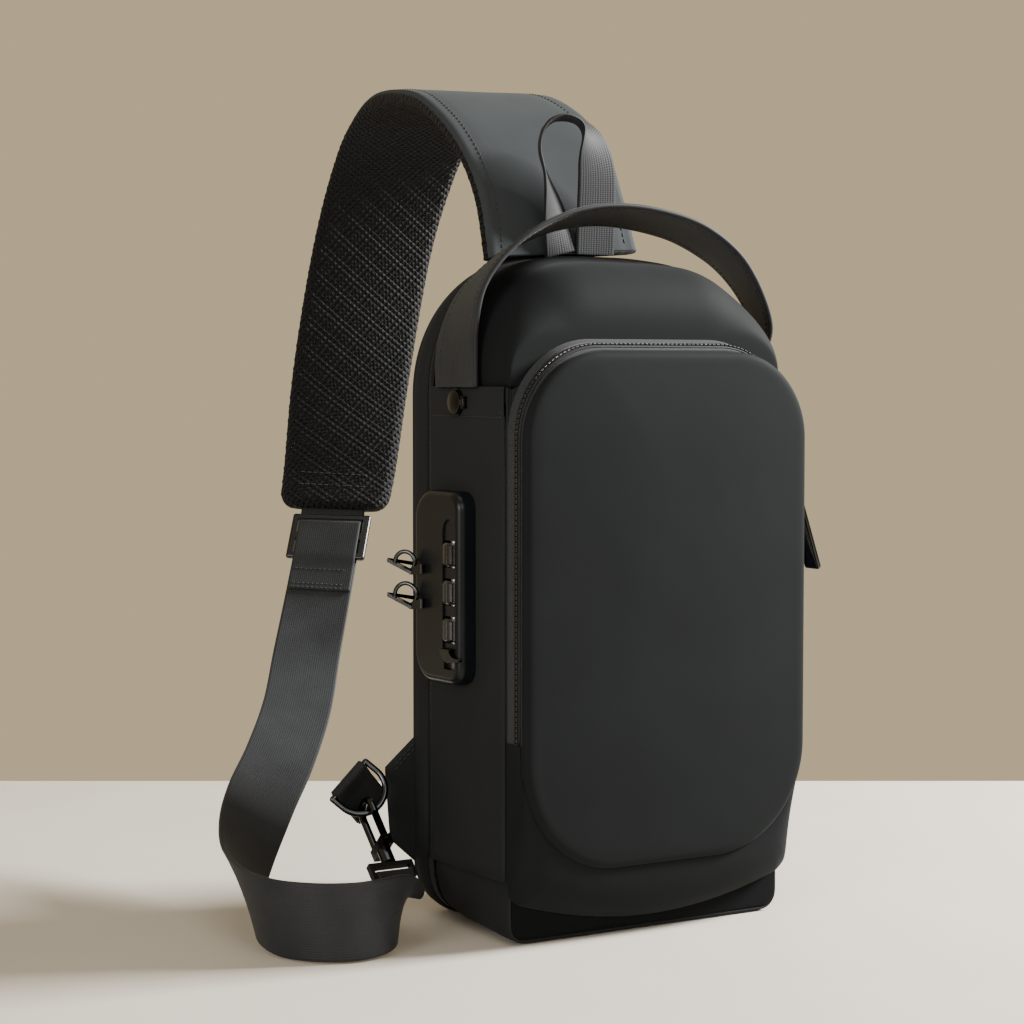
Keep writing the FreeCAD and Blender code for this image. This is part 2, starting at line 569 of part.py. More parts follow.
def lock_case():
    case = Part.Face(lock_outline(CASE_X, 0)).extrude(vec(-LOCK_DEPTH, 0, 0))
    rim = [edge for edge in case.Edges if edge.BoundBox.XMax < FACE_X + 0.01]
    case = case.makeFillet(LOCK_EDGE, rim)
    hollow = Part.Face(lock_outline(CASE_X, 2.2)).extrude(vec(FACE_WALL - LOCK_DEPTH, 0, 0))
    case = case.cut(hollow).fuse(spindle_webs())
    groove = box(FACE_X - 1, FACE_X + 0.9, DIAL_Y - 6.4, DIAL_Y + 6.4, LEVER_HIGH, 202.0)
    groove = groove.fuse(rod((FACE_X - 1, DIAL_Y, 202.0), (1, 0, 0), 6.4, 1.9))
    case = case.cut(groove)
    for z in DIAL_ZS:
        case = case.cut(dial_room(z))
    slot = box(FACE_X - 1, FACE_X + 4, DIAL_Y - 5.2, DIAL_Y + 5.2,
               LEVER_LOW - LEVER_TRAVEL - 0.4, LEVER_HIGH + 0.2)
    length = SPINDLE_HIGH - SPINDLE_LOW
    bore = rod((SPINDLE_X, DIAL_Y, SPINDLE_LOW), (0, 0, 1), SPINDLE_RADIUS, length)
    save(case.cut(slot).cut(bore), "lock_case")


def lock_pieces():
    plate = Part.Face(lock_outline(LOCK_X, 0.4)).extrude(vec(-LOCK_BASE, 0, 0))
    for z in DIAL_ZS:
        plate = plate.cut(dial_room(z))
    save(plate, "lock_base_plate")
    length = SPINDLE_HIGH - SPINDLE_LOW
    save(rod((SPINDLE_X, DIAL_Y, SPINDLE_LOW), (0, 0, 1), SPINDLE_RADIUS, length), "dial_spindle")
    for number, z in enumerate(DIAL_ZS, 1):
        save(dial(z), "dial_%d" % number)
    save(release_lever(), "release_lever")
    inner = FACE_X + FACE_WALL + 0.1
    save(box(inner, inner + 1.4, -14.0, 12.0, LEVER_LOW - 4.6, LEVER_HIGH), "latch_plate")


def release_lever():
    """A thumb lever shaped like a horn, on a block that slides in the case's slot."""
    x = FACE_X - 0.4
    outer = [vec(x, -5.2, 144.0), vec(x, -8.4, 139.4), vec(x, -15.0, 137.6), vec(x, -24.5, 139.0)]
    inner = [vec(x, -24.5, 139.9), vec(x, -19.0, 140.5), vec(x, -15.8, 142.0), vec(x, -14.6, 144.0)]
    edges = [Part.Arc(*outer[:3]).toShape(), Part.makeLine(*outer[2:]),
             Part.makeLine(outer[3], inner[0]), Part.makeLine(*inner[:2]),
             Part.Arc(*inner[1:]).toShape(), Part.makeLine(inner[3], outer[0])]
    horn = Part.Face(Part.Wire(edges)).extrude(vec(-2.2, 0, 0))
    block = box(x - 0.6, FACE_X + FACE_WALL + 0.1, DIAL_Y - 3.4, DIAL_Y + 4.8, LEVER_LOW + 0.8,
                LEVER_HIGH)
    return horn.fuse(block)


def dial(z):
    """A crowned ten-sided wheel with finger grooves between its faces."""
    half = DIAL_LENGTH / 2
    wheel = rod((SPINDLE_X, DIAL_Y, z - half), (0, 0, 1), DIAL_RADIUS, DIAL_LENGTH)
    wheel = wheel.common(Part.makeSphere(math.hypot(DIAL_RADIUS, half) - 0.9,
                                         vec(SPINDLE_X, DIAL_Y, z)))
    for i in range(10):
        angle = math.radians(36 * i + 18)
        x = SPINDLE_X + (DIAL_RADIUS + 0.5) * math.cos(angle)
        y = DIAL_Y + (DIAL_RADIUS + 0.5) * math.sin(angle)
        wheel = wheel.cut(rod((x, y, z - half - 1), (0, 0, 1), 1.1, DIAL_LENGTH + 2))
    return wheel.cut(rod((SPINDLE_X, DIAL_Y, z - half - 1), (0, 0, 1),
                         SPINDLE_RADIUS + FIT, DIAL_LENGTH + 2))


# ---- zip sliders ----------------------------------------------------------------------
def slider_shape():
    """A slider lying on its tape: x away from the tape, z along it, from its own origin."""
    body = Part.makeBox(2.6, 8.6, 11.0, vec(0, -4.3, -5.5))
    body = body.makeFillet(1.0, [e for e in body.Edges if abs(e.BoundBox.XLength - 2.6) < 0.01])
    arch = Part.makeBox(4.6, 3.0, 9.0, vec(2.5, -1.5, -4.5))
    opening = Part.makeBox(3.1, 4.0, 5.6, vec(2.6, -2, -2.8))
    return body.fuse(arch.cut(opening))


def puller_shape(length, wide, narrow, thick):
    """A puller hanging down its own -z from a crossbar on the y axis."""
    half = 2.9
    bar = rod((0, -half, 0), (0, 1, 0), 1.0, 2 * half)
    arms = [Part.makeBox(2.0, 1.4, 6.5, vec(-1.0, y, -6.0)) for y in (-half - 0.9, half - 0.5)]
    points = [vec(-thick / 2, -narrow / 2, -5.6), vec(-thick / 2, narrow / 2, -5.6),
              vec(-thick / 2, wide / 2, -length), vec(-thick / 2, -wide / 2, -length)]
    plate = Part.Face(Part.makePolygon(points + points[:1])).extrude(vec(thick, 0, 0))
    return bar.fuse(arms + [plate])


POCKET_SLIDER_X = POCKET_HALF + 0.5
POCKET_SLIDER_Y = FRONT_Y - 8.0
POCKET_SLIDERS = (("upper", 219.0, 17.0, 42.0, 12.0, 8.4), ("lower", 199.0, 1.0, 42.0, 8.4, 8.0))


def pocket_sliders():
    for name, z, tilt, length, wide, narrow in POCKET_SLIDERS:
        slider = slider_shape()
        slider.translate(vec(POCKET_SLIDER_X, POCKET_SLIDER_Y, z))
        save(slider, "pocket_slider_" + name)
        puller = puller_shape(length, wide, narrow, 1.8)
        puller.Placement = FreeCAD.Placement(
            vec(POCKET_SLIDER_X + 4.15, POCKET_SLIDER_Y, z),
            FreeCAD.Rotation(vec(0, 1, 0), -tilt))
        save(puller, "pocket_puller_" + name)


MAIN_SLIDER_Y = (ZIP_FRONT + ZIP_BACK) / 2 + 1.4
MAIN_SLIDER_ZS = (("upper", 185.0, 5.4), ("lower", 167.5, 6.8))   # height, rise of the eye


def upright_prism(start, end, profile, depth):
    """Extrudes a profile of (share, z), drawn along a level line, to both sides of it."""
    along = end - start
    side = vec(-along.y, along.x, 0)
    side.normalize()
    points = [start + along * share + vec(0, 0, z) - side * (depth / 2) for share, z in profile]
    return Part.Face(Part.makePolygon(points + points[:1])).extrude(side * depth)


def main_puller(pivot, rise):
    """A sloping tab with an eye on top and a blunt nose that bends over the case's edge."""
    back = pivot + vec(-17.5, -2.4, 0)
    elbow = pivot + vec(-10.5, -10.9, 0)
    nose_end = pivot + vec(-9.3, -19.3, 0)
    hub = rod((pivot.x, pivot.y, pivot.z - 3.6), (0, 0, 1), 1.9, 7.2)
    arm = upright_prism(pivot, pivot + vec(-17.5, 0, 0),
                        [(0, -3.2), (0, -1.0), (1, 2.0), (1, 0.4)], 2.4)
    tab = upright_prism(back, elbow, [(-0.1, 1.6), (1.1, -4.2), (1.1, -6.0), (-0.1, 0.2)], 4.8)
    nose = upright_prism(elbow, nose_end, [(0, -3.0), (1.0, -0.2), (1.0, -5.0), (0, -6.0)], 2.6)
    nose = nose.fuse(rod(tuple(nose_end - vec(0, 0, 5.0)), (0, 0, 1), 1.3, 4.8))
    start = back + (elbow - back) * 0.22 + vec(0, 0, -0.4)
    end = elbow + vec(0, 0, -4.0)
    top = (start + end) * 0.5
    arc = Part.Arc(start, vec(top.x, top.y, pivot.z + rise), end).toShape()
    circle = Part.makeCircle(1.1, start, arc.tangentAt(arc.FirstParameter))
    eye = Part.Wire([arc]).makePipeShell([Part.Wire([circle])], True, False)
    bore = rod((pivot.x, pivot.y, pivot.z - 6), (0, 0, 1), 1.0 + FIT, 12)
    return hub.fuse([arm, tab, nose, eye]).cut(bore)


def main_sliders():
    """Sliders parked behind the lock, with their pullers folded forward over the case."""
    x, y = -HALF_WIDTH - 0.1, MAIN_SLIDER_Y
    hinge_x, hinge_y = x - 4.9, y + 1.7
    for name, z, rise in MAIN_SLIDER_ZS:
        body = box(x - 2.6, x, y - 4.0, y + 4.6, z - 5.5, z + 5.5)
        cheeks = [box(x - 6.2, x - 2.4, hinge_y - 1.2, hinge_y + 1.2, low, low + 1.1)
                  for low in (z - 5.0, z + 3.9)]
        pivot = rod((hinge_x, hinge_y, z - 5.0), (0, 0, 1), 1.0, 10.0)
        save(body.fuse(cheeks + [pivot]), "main_slider_" + name)
        save(main_puller(vec(hinge_x, hinge_y, z), rise), "main_puller_" + name)


def build():
    os.makedirs("parts", exist_ok=True)
    back_shell()
    back_pads()
    main_zip()
    gussets()
    front_wall()
    chin_panel()
    side_pocket()
    pocket_walls()
    pocket_cover()
    usb_port()
    tongue, webbing = strap_webbing(shoulder_pad())
    adjuster(tongue, webbing)
    handle()
    hang_loop()
    left_ring()
    right_ring()
    snap_hook(webbing)
    lock_case()
    lock_pieces()
    pocket_sliders()
    main_sliders()


build()
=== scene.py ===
"""The looks of the sling bag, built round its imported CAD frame.

Lengths are in millimetres while a piece is being shaped, and in metres on its mesh.
+Z is up, -Y is the front with the zipped pocket, and the lock is on the -X side.
"""
import math

import bmesh
import bpy
import numpy as np
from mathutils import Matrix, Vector, noise


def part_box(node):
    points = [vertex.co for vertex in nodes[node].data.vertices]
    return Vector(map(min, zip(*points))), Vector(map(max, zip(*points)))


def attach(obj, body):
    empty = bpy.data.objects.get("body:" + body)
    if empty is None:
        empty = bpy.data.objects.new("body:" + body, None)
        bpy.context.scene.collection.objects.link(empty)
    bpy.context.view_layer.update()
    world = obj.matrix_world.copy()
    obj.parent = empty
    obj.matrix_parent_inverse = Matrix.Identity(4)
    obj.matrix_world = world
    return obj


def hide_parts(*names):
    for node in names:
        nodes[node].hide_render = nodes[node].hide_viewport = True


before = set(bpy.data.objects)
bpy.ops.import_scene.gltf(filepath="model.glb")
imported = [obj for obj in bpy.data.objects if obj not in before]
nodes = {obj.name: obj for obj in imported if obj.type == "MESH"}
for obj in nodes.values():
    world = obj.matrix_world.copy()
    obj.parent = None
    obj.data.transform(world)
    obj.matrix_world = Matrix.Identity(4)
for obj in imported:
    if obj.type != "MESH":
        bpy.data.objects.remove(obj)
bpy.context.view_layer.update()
MM = 0.001


def span(node):
    """A CAD node's lowest and highest corners, in millimetres."""
    low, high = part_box(node)
    return np.array(low) / MM, np.array(high) / MM


# ---- sizes taken from the frame ---------------------------------------------------------
HALF, BACK_Y, BACK_TOP = span("back_panel")[1]      # half of the body's width, its back and top
FRONT_Y = span("front_wall")[0][1]
FRONT_TOP = BACK_TOP - 4.0                # where the front would end if its edge were square
SEAM_Z = span("left_gusset")[0][2]        # seam between base and sides
HEM_Z = span("side_pocket_hem")[1][2]
ZIP_FRONT, ZIP_BACK = (corner[1] for corner in span("main_zip_tape"))
cover_low, cover_high = span("pocket_cover")
COVER_HALF, COVER_BACK, COVER_TOP = cover_high
COVER_BOTTOM = cover_low[2]
POCKET_ZIP_END = span("pocket_zip_tape")[0][2]
BACK_R = (70.0, 30.0)                     # top and bottom corner radii of the back outline
FRONT_R = (50.0, 10.0)
COVER_R = (44.0, 55.0)


# ---- small mesh tools -------------------------------------------------------------------
def unit(v):
    v = np.asarray(v, float)
    return v / np.maximum(np.linalg.norm(v, axis=-1, keepdims=True), 1e-9)


def travelled(path):
    """The distance along a path to each of its points."""
    return np.concatenate([[0], np.cumsum(np.linalg.norm(np.diff(path, axis=0), axis=1))])


def at_distances(path, travel, wanted):
    """Points of a path at the wanted distances along it."""
    return np.stack([np.interp(wanted, travel, column) for column in path.T], axis=1)


def at_depth(flat, y):
    """Gives x, z points their depth y."""
    return np.stack([flat[:, 0], np.broadcast_to(y, len(flat)), flat[:, 1]], axis=1)


def facing(direction, path):
    """One outward direction for every point of a path."""
    return np.tile(np.asarray(direction, float), (len(path), 1))


def grid_faces(rows, cols, wrap=False):
    faces = []
    for r in range(rows - 1):
        for c in range(cols if wrap else cols - 1):
            d = (c + 1) % cols
            faces.append((r * cols + c, r * cols + d, (r + 1) * cols + d, (r + 1) * cols + c))
    return faces


def lay(points):
    """Cloth coordinates of a grid, in metres: along a row, then from row to row."""
    across = np.linalg.norm(np.diff(points, axis=1), axis=2)
    down = np.linalg.norm(np.diff(points, axis=0), axis=2)
    u = np.concatenate([np.zeros((len(points), 1)), np.cumsum(across, axis=1)], axis=1)
    u = u - u.mean(axis=1, keepdims=True)
    v = np.concatenate([np.zeros((1, points.shape[1])), np.cumsum(down, axis=0)], axis=0)
    v = np.repeat(v.mean(axis=1, keepdims=True), points.shape[1], axis=1)
    return np.stack([u, v, np.zeros_like(u)], axis=2) * MM


def mesh_piece(name, verts, faces, material, weave=None):
    """A new piece; one that has a CAD node's name gets an ending of its own."""
    if name in nodes:
        name += "_shaped"
    mesh = bpy.data.meshes.new(name)
    mesh.from_pydata([tuple(p) for p in np.asarray(verts, float) * MM], [], faces)
    mesh.update()
    if weave is not None:
        layer = mesh.attributes.new("weave", "FLOAT_VECTOR", "POINT")
        layer.data.foreach_set("vector", np.asarray(weave, float).reshape(-1))
    mesh.materials.append(material)
    mesh.shade_smooth()
    piece = bpy.data.objects.new(name, mesh)
    bpy.context.scene.collection.objects.link(piece)
    return piece


def thicken(piece, thickness, offset=-1.0):
    mod = piece.modifiers.new("thickness", "SOLIDIFY")
    mod.thickness = thickness * MM
    mod.offset = offset


def subdivide(piece):
    mod = piece.modifiers.new("smooth", "SUBSURF")
    mod.levels = 1
    mod.render_levels = 1


def stand_for(piece, slot, *names, body="bag"):
    """Puts a piece on its body and hides the CAD nodes it replaces; slot is not used."""
    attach(piece, body)
    if names:
        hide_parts(*names)
    return piece


def panel(name, points, material, thickness, node, slot="shell_fabric", smooth=True, offset=-1.0):
    """A grid of points made into a sheet of cloth that stands for a CAD node."""
    points = np.asarray(points, float)
    piece = mesh_piece(name, points.reshape(-1, 3), grid_faces(*points.shape[:2]), material,
                       lay(points).reshape(-1, 3))
    thicken(piece, thickness, offset)
    if smooth:
        subdivide(piece)
    return stand_for(piece, slot, node)


def frames_along(path, closed=False):
    if closed:
        return unit(np.roll(path, -1, 0) - np.roll(path, 1, 0))
    return unit(np.gradient(path, axis=0))


def tube(path, radius, up, sides=10, closed=False):
    """Vertices and faces of a round tube along a path; up is a direction for each point."""
    path = np.asarray(path, float)
    along = frames_along(path, closed)
    up = unit(up - along * np.sum(up * along, axis=1, keepdims=True))
    side = np.cross(along, up)
    turn = np.linspace(0, 2 * math.pi, sides, endpoint=False)
    rings = (path[:, None] + radius * (np.cos(turn)[None, :, None] * up[:, None]
                                       + np.sin(turn)[None, :, None] * side[:, None]))
    count = len(path)
    faces = []
    for r in range(count if closed else count - 1):
        s = (r + 1) % count
        for c in range(sides):
            d = (c + 1) % sides
            faces.append((r * sides + c, s * sides + c, s * sides + d, r * sides + d))
    if not closed:
        faces.append(tuple(range(sides)))
        faces.append(tuple((count - 1) * sides + c for c in reversed(range(sides))))
    return rings.reshape(-1, 3), faces


def joined(parts):
    """Joins (vertices, faces) pairs into one pair."""
    verts, faces, base = [], [], 0
    for v, f in parts:
        verts.append(np.asarray(v))
        faces += [tuple(i + base for i in face) for face in f]
        base += len(v)
    return np.vstack(verts), faces


STITCH_STEPS = 6                          # fine points for each stitch and its gap
STITCH_LIFT = 0.1                         # how far a thread's middle stands off the cloth


def stitch_line(path, out, pitch=3.0, length=2.1, radius=0.22):
    """A row of short threads that dip into the cloth at both ends."""
    total = np.linalg.norm(np.diff(path, axis=0), axis=1).sum()
    count = max(3, int(total / pitch))
    track = np.hstack([path, out])
    travel = travelled(track)
    fine = at_distances(track, travel, np.linspace(0, travel[-1], count * STITCH_STEPS))
    held = 1 + max(3, int(STITCH_STEPS * length / pitch))
    parts = []
    for start in range(0, (count - 1) * STITCH_STEPS, STITCH_STEPS):
        thread = fine[start:start + held]
        shares = np.linspace(-1, 1, len(thread))
        rise = (STITCH_LIFT + radius * 0.6) - (radius * 1.6) * np.abs(shares) ** 3
        points = thread[:, :3] + unit(thread[:, 3:]) * rise[:, None]
        parts.append(tube(points, radius, unit(thread[:, 3:]), 5))
    return joined(parts)


def stitching(name, slot, lines):
    return stand_for(mesh_piece(name, *joined(lines), THREAD), slot)


def wobble(p, size, amount, seed=0.0):
    """A smooth random shift for a point, the same on every run."""
    return amount * noise.noise(Vector((p[0] / size + seed, p[1] / size, p[2] / size)))


# ---- materials --------------------------------------------------------------------------
class Nodes:
    """Short calls for building a material's node tree."""

    def __init__(self, name):
        self.material = bpy.data.materials.new(name)
        self.material.use_nodes = True
        self.tree = self.material.node_tree
        self.shader = self.tree.nodes["Principled BSDF"]

    def add(self, kind, **values):
        node = self.tree.nodes.new(kind)
        for key, value in values.items():
            if hasattr(node, key):
                setattr(node, key, value)
            else:
                node.inputs[key].default_value = value
        return node

    def link(self, source, target):
        self.tree.links.new(source, target)

    def math(self, operation, *values):
        node = self.add("ShaderNodeMath", operation=operation)
        for socket, value in zip(node.inputs, values):
            if isinstance(value, (int, float)):
                socket.default_value = value
            else:
                self.link(value, socket)
        return node.outputs[0]

    def plus(self, a, b):
        return self.math("ADD", a, b)

    def times(self, a, b):
        return self.math("MULTIPLY", a, b)

    def mix(self, a, share_a, b, share_b):
        return self.plus(self.times(a, share_a), self.times(b, share_b))

    def weave(self):
        """The cloth coordinates, whole and as across and along."""
        node = self.add("ShaderNodeAttribute", attribute_name="weave")
        split = self.add("ShaderNodeSeparateXYZ")
        self.link(node.outputs["Vector"], split.inputs[0])
        return node.outputs["Vector"], split.outputs[0], split.outputs[1]

    def place(self):
        return self.add("ShaderNodeTexCoord").outputs["Object"]

    def noise(self, vector, scale, detail=3.0, roughness=0.55):
        node = self.add("ShaderNodeTexNoise", Scale=scale, Detail=detail, Roughness=roughness)
        self.link(vector, node.inputs["Vector"])
        return node.outputs[0]

    def wave(self, value, pitch_mm):
        """A sine of the given pitch, from -1 to 1."""
        return self.math("SINE", self.times(value, 2 * math.pi / (pitch_mm * MM)))

    def ramp(self, value, *stops):
        """A blend between two colours, each given as its position and its colour."""
        node = self.add("ShaderNodeValToRGB")
        for element, (position, color) in zip(node.color_ramp.elements, stops):
            element.position = position
            element.color = (*color, 1)
        self.link(value, node.inputs[0])
        return node.outputs[0]

    def tint(self, value, color, *stops):
        """Sets the base colour between a darker and a lighter shade of one colour."""
        shades = [(at, [c * factor for c in color]) for at, factor in stops]
        self.set(Base_Color=self.ramp(value, *shades))

    def bump(self, height, distance_mm, strength, under=None):
        node = self.add("ShaderNodeBump", Strength=strength, Distance=distance_mm * MM)
        self.link(height, node.inputs["Height"])
        if under is not None:
            self.link(under, node.inputs["Normal"])
        return node.outputs[0]

    def set(self, **values):
        for key, value in values.items():
            socket = self.shader.inputs[key.replace("_", " ")]
            if hasattr(value, "links"):
                self.link(value, socket)
            else:
                socket.default_value = value

    def soft(self, roughness, sheen, sheen_roughness, specular):
        self.set(Roughness=roughness, Sheen_Weight=sheen, Sheen_Roughness=sheen_roughness,
                 Specular_IOR_Level=specular)


def coated_cloth(name, color):
    """A matt coated plain weave with a faint mottle and soft sheen."""
    n = Nodes(name)
    vector, u, v = n.weave()
    threads = n.times(n.wave(u, 1.1), n.wave(v, 1.1))
    mottle = n.noise(n.place(), 16.0, 4.0)
    fine = n.noise(vector, 2600.0, 2.0)
    n.tint(n.mix(mottle, 0.8, fine, 0.2), color, (0.3, 0.86), (0.7, 1.14))
    n.soft(n.plus(n.times(mottle, 0.12), 0.64), 0.02, 0.4, 0.03)
    height = n.mix(threads, 0.1, fine, 0.9)
    n.set(Normal=n.bump(height, 0.05, 0.55, n.bump(mottle, 0.6, 0.35)))
    return n.material


def knit_cloth(name, color):
    """A coarse speckled knit, as beside the pocket's zip."""
    n = Nodes(name)
    vector, u, v = n.weave()
    loops = n.times(n.wave(n.plus(u, v), 2.1), n.wave(n.math("SUBTRACT", u, v), 2.1))
    speck = n.noise(vector, 900.0, 3.0, 0.7)
    n.tint(n.plus(n.times(loops, 0.18), speck), color, (0.3, 0.5), (0.72, 1.7))
    n.soft(0.75, 0.05, 0.5, 0.1)
    n.set(Normal=n.bump(n.plus(loops, n.times(speck, 1.2)), 0.22, 0.8))
    return n.material


def ribbed_webbing(name, color, pitch=1.2):
    """Woven webbing: ribs along its length, crossed by fine picks."""
    n = Nodes(name)
    _, u, v = n.weave()
    ribs = n.math("ABSOLUTE", n.wave(u, pitch * 2))
    picks = n.wave(v, 1.1)
    twill = n.wave(n.plus(u, n.times(v, 0.6)), 0.9)
    mottle = n.noise(n.place(), 40.0)
    n.tint(n.mix(ribs, 0.16, mottle, 0.84), color, (0.25, 0.72), (0.75, 1.22))
    n.soft(0.6, 0.05, 0.4, 0.1)
    n.set(Normal=n.bump(n.plus(ribs, n.mix(picks, 0.25, twill, 0.2)), 0.14, 0.5))
    return n.material


BAR_LEAN = 0.62                           # slant of the spacer mesh's rows of bars


def air_mesh(name, color):
    """Spacer mesh: rows of holes between raised diagonal bars, with painted shade darkening the
    holes.
    """
    n = Nodes(name)
    vector, u, v = n.weave()
    a = n.wave(n.plus(u, n.times(v, BAR_LEAN)), 3.4)
    b = n.wave(n.math("SUBTRACT", n.times(u, BAR_LEAN), v), 3.4)
    holes = n.math("SMOOTH_MAX", a, b, 0.6)
    fuzz = n.noise(vector, 1500.0, 2.0)
    # Painted shade: the colour ramp makes the holes far darker than the bars.
    n.tint(n.mix(holes, 0.45, fuzz, 0.35), color, (0.05, 0.25), (0.6, 1.6))
    n.soft(0.72, 0.02, 0.5, 0.15)
    n.set(Normal=n.bump(n.plus(holes, n.times(fuzz, 0.3)), 0.9, 0.9))
    return n.material


def moulded(name, color, roughness, grain, coat=0.0, specular=0.25):
    """Moulded plastic or rubber with a fine spark-eroded grain."""
    n = Nodes(name)
    fine = n.noise(n.place(), 1400.0, 2.0)
    broad = n.noise(n.place(), 60.0)
    n.tint(broad, color, (0.3, 0.9), (0.7, 1.12))
    n.set(Roughness=n.plus(n.times(broad, 0.14), roughness - 0.07), Coat_Weight=coat,
          Coat_Roughness=0.1, Specular_IOR_Level=specular)
    n.set(Normal=n.bump(fine, grain, 0.5))
    return n.material


def plated(name, color, roughness):
    """Plated metal with faint handling marks."""
    n = Nodes(name)
    marks = n.noise(n.place(), 220.0, 4.0, 0.65)
    n.tint(marks, color, (0.3, 0.85), (0.7, 1.15))
    n.set(Metallic=1.0, Roughness=n.plus(n.times(marks, 0.18), roughness - 0.06))
    n.set(Normal=n.bump(marks, 0.02, 0.4))
    return n.material


FRONT_CLOTH = coated_cloth("coated_cloth", (0.0060, 0.0070, 0.0072))
# The strap pad uses the body's coated cloth made several times lighter: painted light for the lit
# pad.
PAD_CLOTH_PAINTED_LIGHT = coated_cloth("coated_cloth_strap_painted_light", (0.0245, 0.0275, 0.0288))
# The sides, back, base panel, wings and welts use the front's coated cloth made lighter: painted
# light on faces that are in shade.
SIDE_CLOTH_PAINTED_LIGHT = coated_cloth("coated_cloth_sides_painted_light", (0.0110, 0.0118, 0.0122))
# The base band uses the front's coated cloth made darker: painted shade low on the front.
BASE_CLOTH_PAINTED_SHADE = coated_cloth("coated_cloth_base_painted_shade", (0.0030, 0.0035, 0.0038))
KNIT = knit_cloth("speckled_knit", (0.015, 0.017, 0.018))
WEBBING = ribbed_webbing("grey_webbing", (0.0150, 0.0160, 0.0172))
WEBBING_BLACK = ribbed_webbing("black_webbing", (0.010, 0.0105, 0.0112), 1.6)
MESH = air_mesh("air_mesh", (0.0011, 0.0012, 0.0014))
TAPE = ribbed_webbing("zip_tape", (0.012, 0.012, 0.012), 0.9)
TEETH = moulded("zip_teeth", (0.008, 0.008, 0.0085), 0.4, 0.03)
THREAD = moulded("sewing_thread", (0.022, 0.023, 0.023), 0.6, 0.02)
RUBBER = moulded("port_rubber", (0.002, 0.002, 0.0022), 0.2, 0.01, 0.08, 0.12)
LOCK_BLACK = moulded("lock_plastic", (0.0030, 0.0038, 0.0048), 0.3, 0.02, 0.0, 0.16)
DIAL_BLACK = moulded("dial_plastic", (0.003, 0.003, 0.0032), 0.12, 0.01, 0.6)
BUCKLE = moulded("buckle_plastic", (0.005, 0.0054, 0.0058), 0.3, 0.02)
GUNMETAL = plated("black_nickel", (0.042, 0.045, 0.050), 0.15)
STEEL = plated("steel", (0.22, 0.22, 0.23), 0.3)


# ---- the body's surface -----------------------------------------------------------------
def rounded_outline(half, bottom, top, r_top, r_bottom, count=24):
    """Points of a rounded rectangle in x and z, from the middle of the base towards +x."""
    def arc(cx, cz, r, start):
        turn = np.radians(np.linspace(start, start + 90, count))
        return np.stack([cx + r * np.cos(turn), cz + r * np.sin(turn)], axis=1)
    return np.vstack([[[0.0, bottom]],
                      arc(half - r_bottom, bottom + r_bottom, r_bottom, -90),
                      arc(half - r_top, top - r_top, r_top, 0),
                      arc(r_top - half, top - r_top, r_top, 90),
                      arc(r_bottom - half, bottom + r_bottom, r_bottom, 180),
                      [[0.0, bottom]]])


def body_outline(y, inset=0.0):
    share = (y - FRONT_Y) / (BACK_Y - FRONT_Y)
    top = FRONT_TOP + share * (BACK_TOP - FRONT_TOP) - inset
    r_top, r_bottom = (f + share * (b - f) - inset for f, b in zip(FRONT_R, BACK_R))
    return rounded_outline(HALF - inset, inset, top, r_top, r_bottom)


def cut_at(outline, z, side):
    """The distance along an outline where it reaches height z on one side."""
    on_side = outline[:, 0] * side > 20
    heights, travel = outline[on_side, 1], travelled(outline)[on_side]
    order = np.argsort(heights)
    return np.interp(z, heights[order], travel[order])


def outline_part(outline, part, count):
    """Even points along the base, one side, or the arch over the top."""
    right_low, right_high = cut_at(outline, SEAM_Z, 1), cut_at(outline, HEM_Z, 1)
    left_low, left_high = cut_at(outline, SEAM_Z, -1), cut_at(outline, HEM_Z, -1)
    travel = travelled(outline)
    spans = {"right": (right_low, right_high), "top": (right_high, left_high),
             "left": (left_high, left_low), "base": (left_low, travel[-1] + right_low),
             "arch": (right_low, left_low), "all": (0, travel[-1])}
    wanted = np.linspace(*spans[part], count) % (travel[-1] + 1e-9)
    return at_distances(outline, travel, wanted)


def edge_radius(z):
    """The body's front edge is crisp down the sides and rolls softly over the top."""
    share = np.clip((z - 280.0) / 50.0, 0, 1)
    return 2.2 + 27.8 * share * share * (3 - 2 * share)


def body_line(part, cols, y):
    """One line of the body's surface and its outward directions, in x and z, at depth y."""
    front = outline_part(body_outline(FRONT_Y), part, cols)
    back = outline_part(body_outline(BACK_Y), part, cols)
    share = (np.broadcast_to(y, cols) - FRONT_Y) / (BACK_Y - FRONT_Y)
    flat = front + (back - front) * share[:, None]
    tangent = unit(np.gradient(flat, axis=0))
    if part == "all":
        tangent[0] = tangent[-1] = (1, 0)
    return flat, np.stack([tangent[:, 1], -tangent[:, 0]], axis=1)


def body_row(part, cols, y, inset=0.0):
    flat, out = body_line(part, cols, y)
    return at_depth(flat - out * np.broadcast_to(inset, cols)[:, None], y), out


def body_path(part, cols, y, inset=0.0):
    row, out = body_row(part, cols, y, inset)
    return row, at_depth(out, 0.0)


def cloth_rows(rows, outs, crown, seam, ends, wrinkle, seed):
    """Crowns a panel between its seams, draws it in at them, and lets it ripple a little."""
    rows = np.array(rows)
    count, cols = rows.shape[:2]
    for i in range(count):
        arch = crown * math.sin(math.pi * i / (count - 1))
        for j in range(cols):
            rise = arch * math.sin(math.pi * j / (cols - 1)) ** 0.5
            rise -= seam * math.exp(-min(i, count - 1 - i) / 1.2)
            if ends:
                rise -= seam * math.exp(-min(j, cols - 1 - j) / 1.2)
            at = rows[i, j]
            rise += wobble(at, 45, wrinkle, seed) + wobble(at, 17, wrinkle * 0.3, seed)
            rows[i, j, ::2] += np.asarray(outs[i][j]) * rise
    return on_floor(rows)


def on_floor(points):
    """Keeps the cloth just above the floor."""
    points[:, :, 2] = np.maximum(points[:, :, 2], 0.05)
    return points


TURNS = np.radians([8, 18, 28, 38, 48, 58, 68, 79, 90])


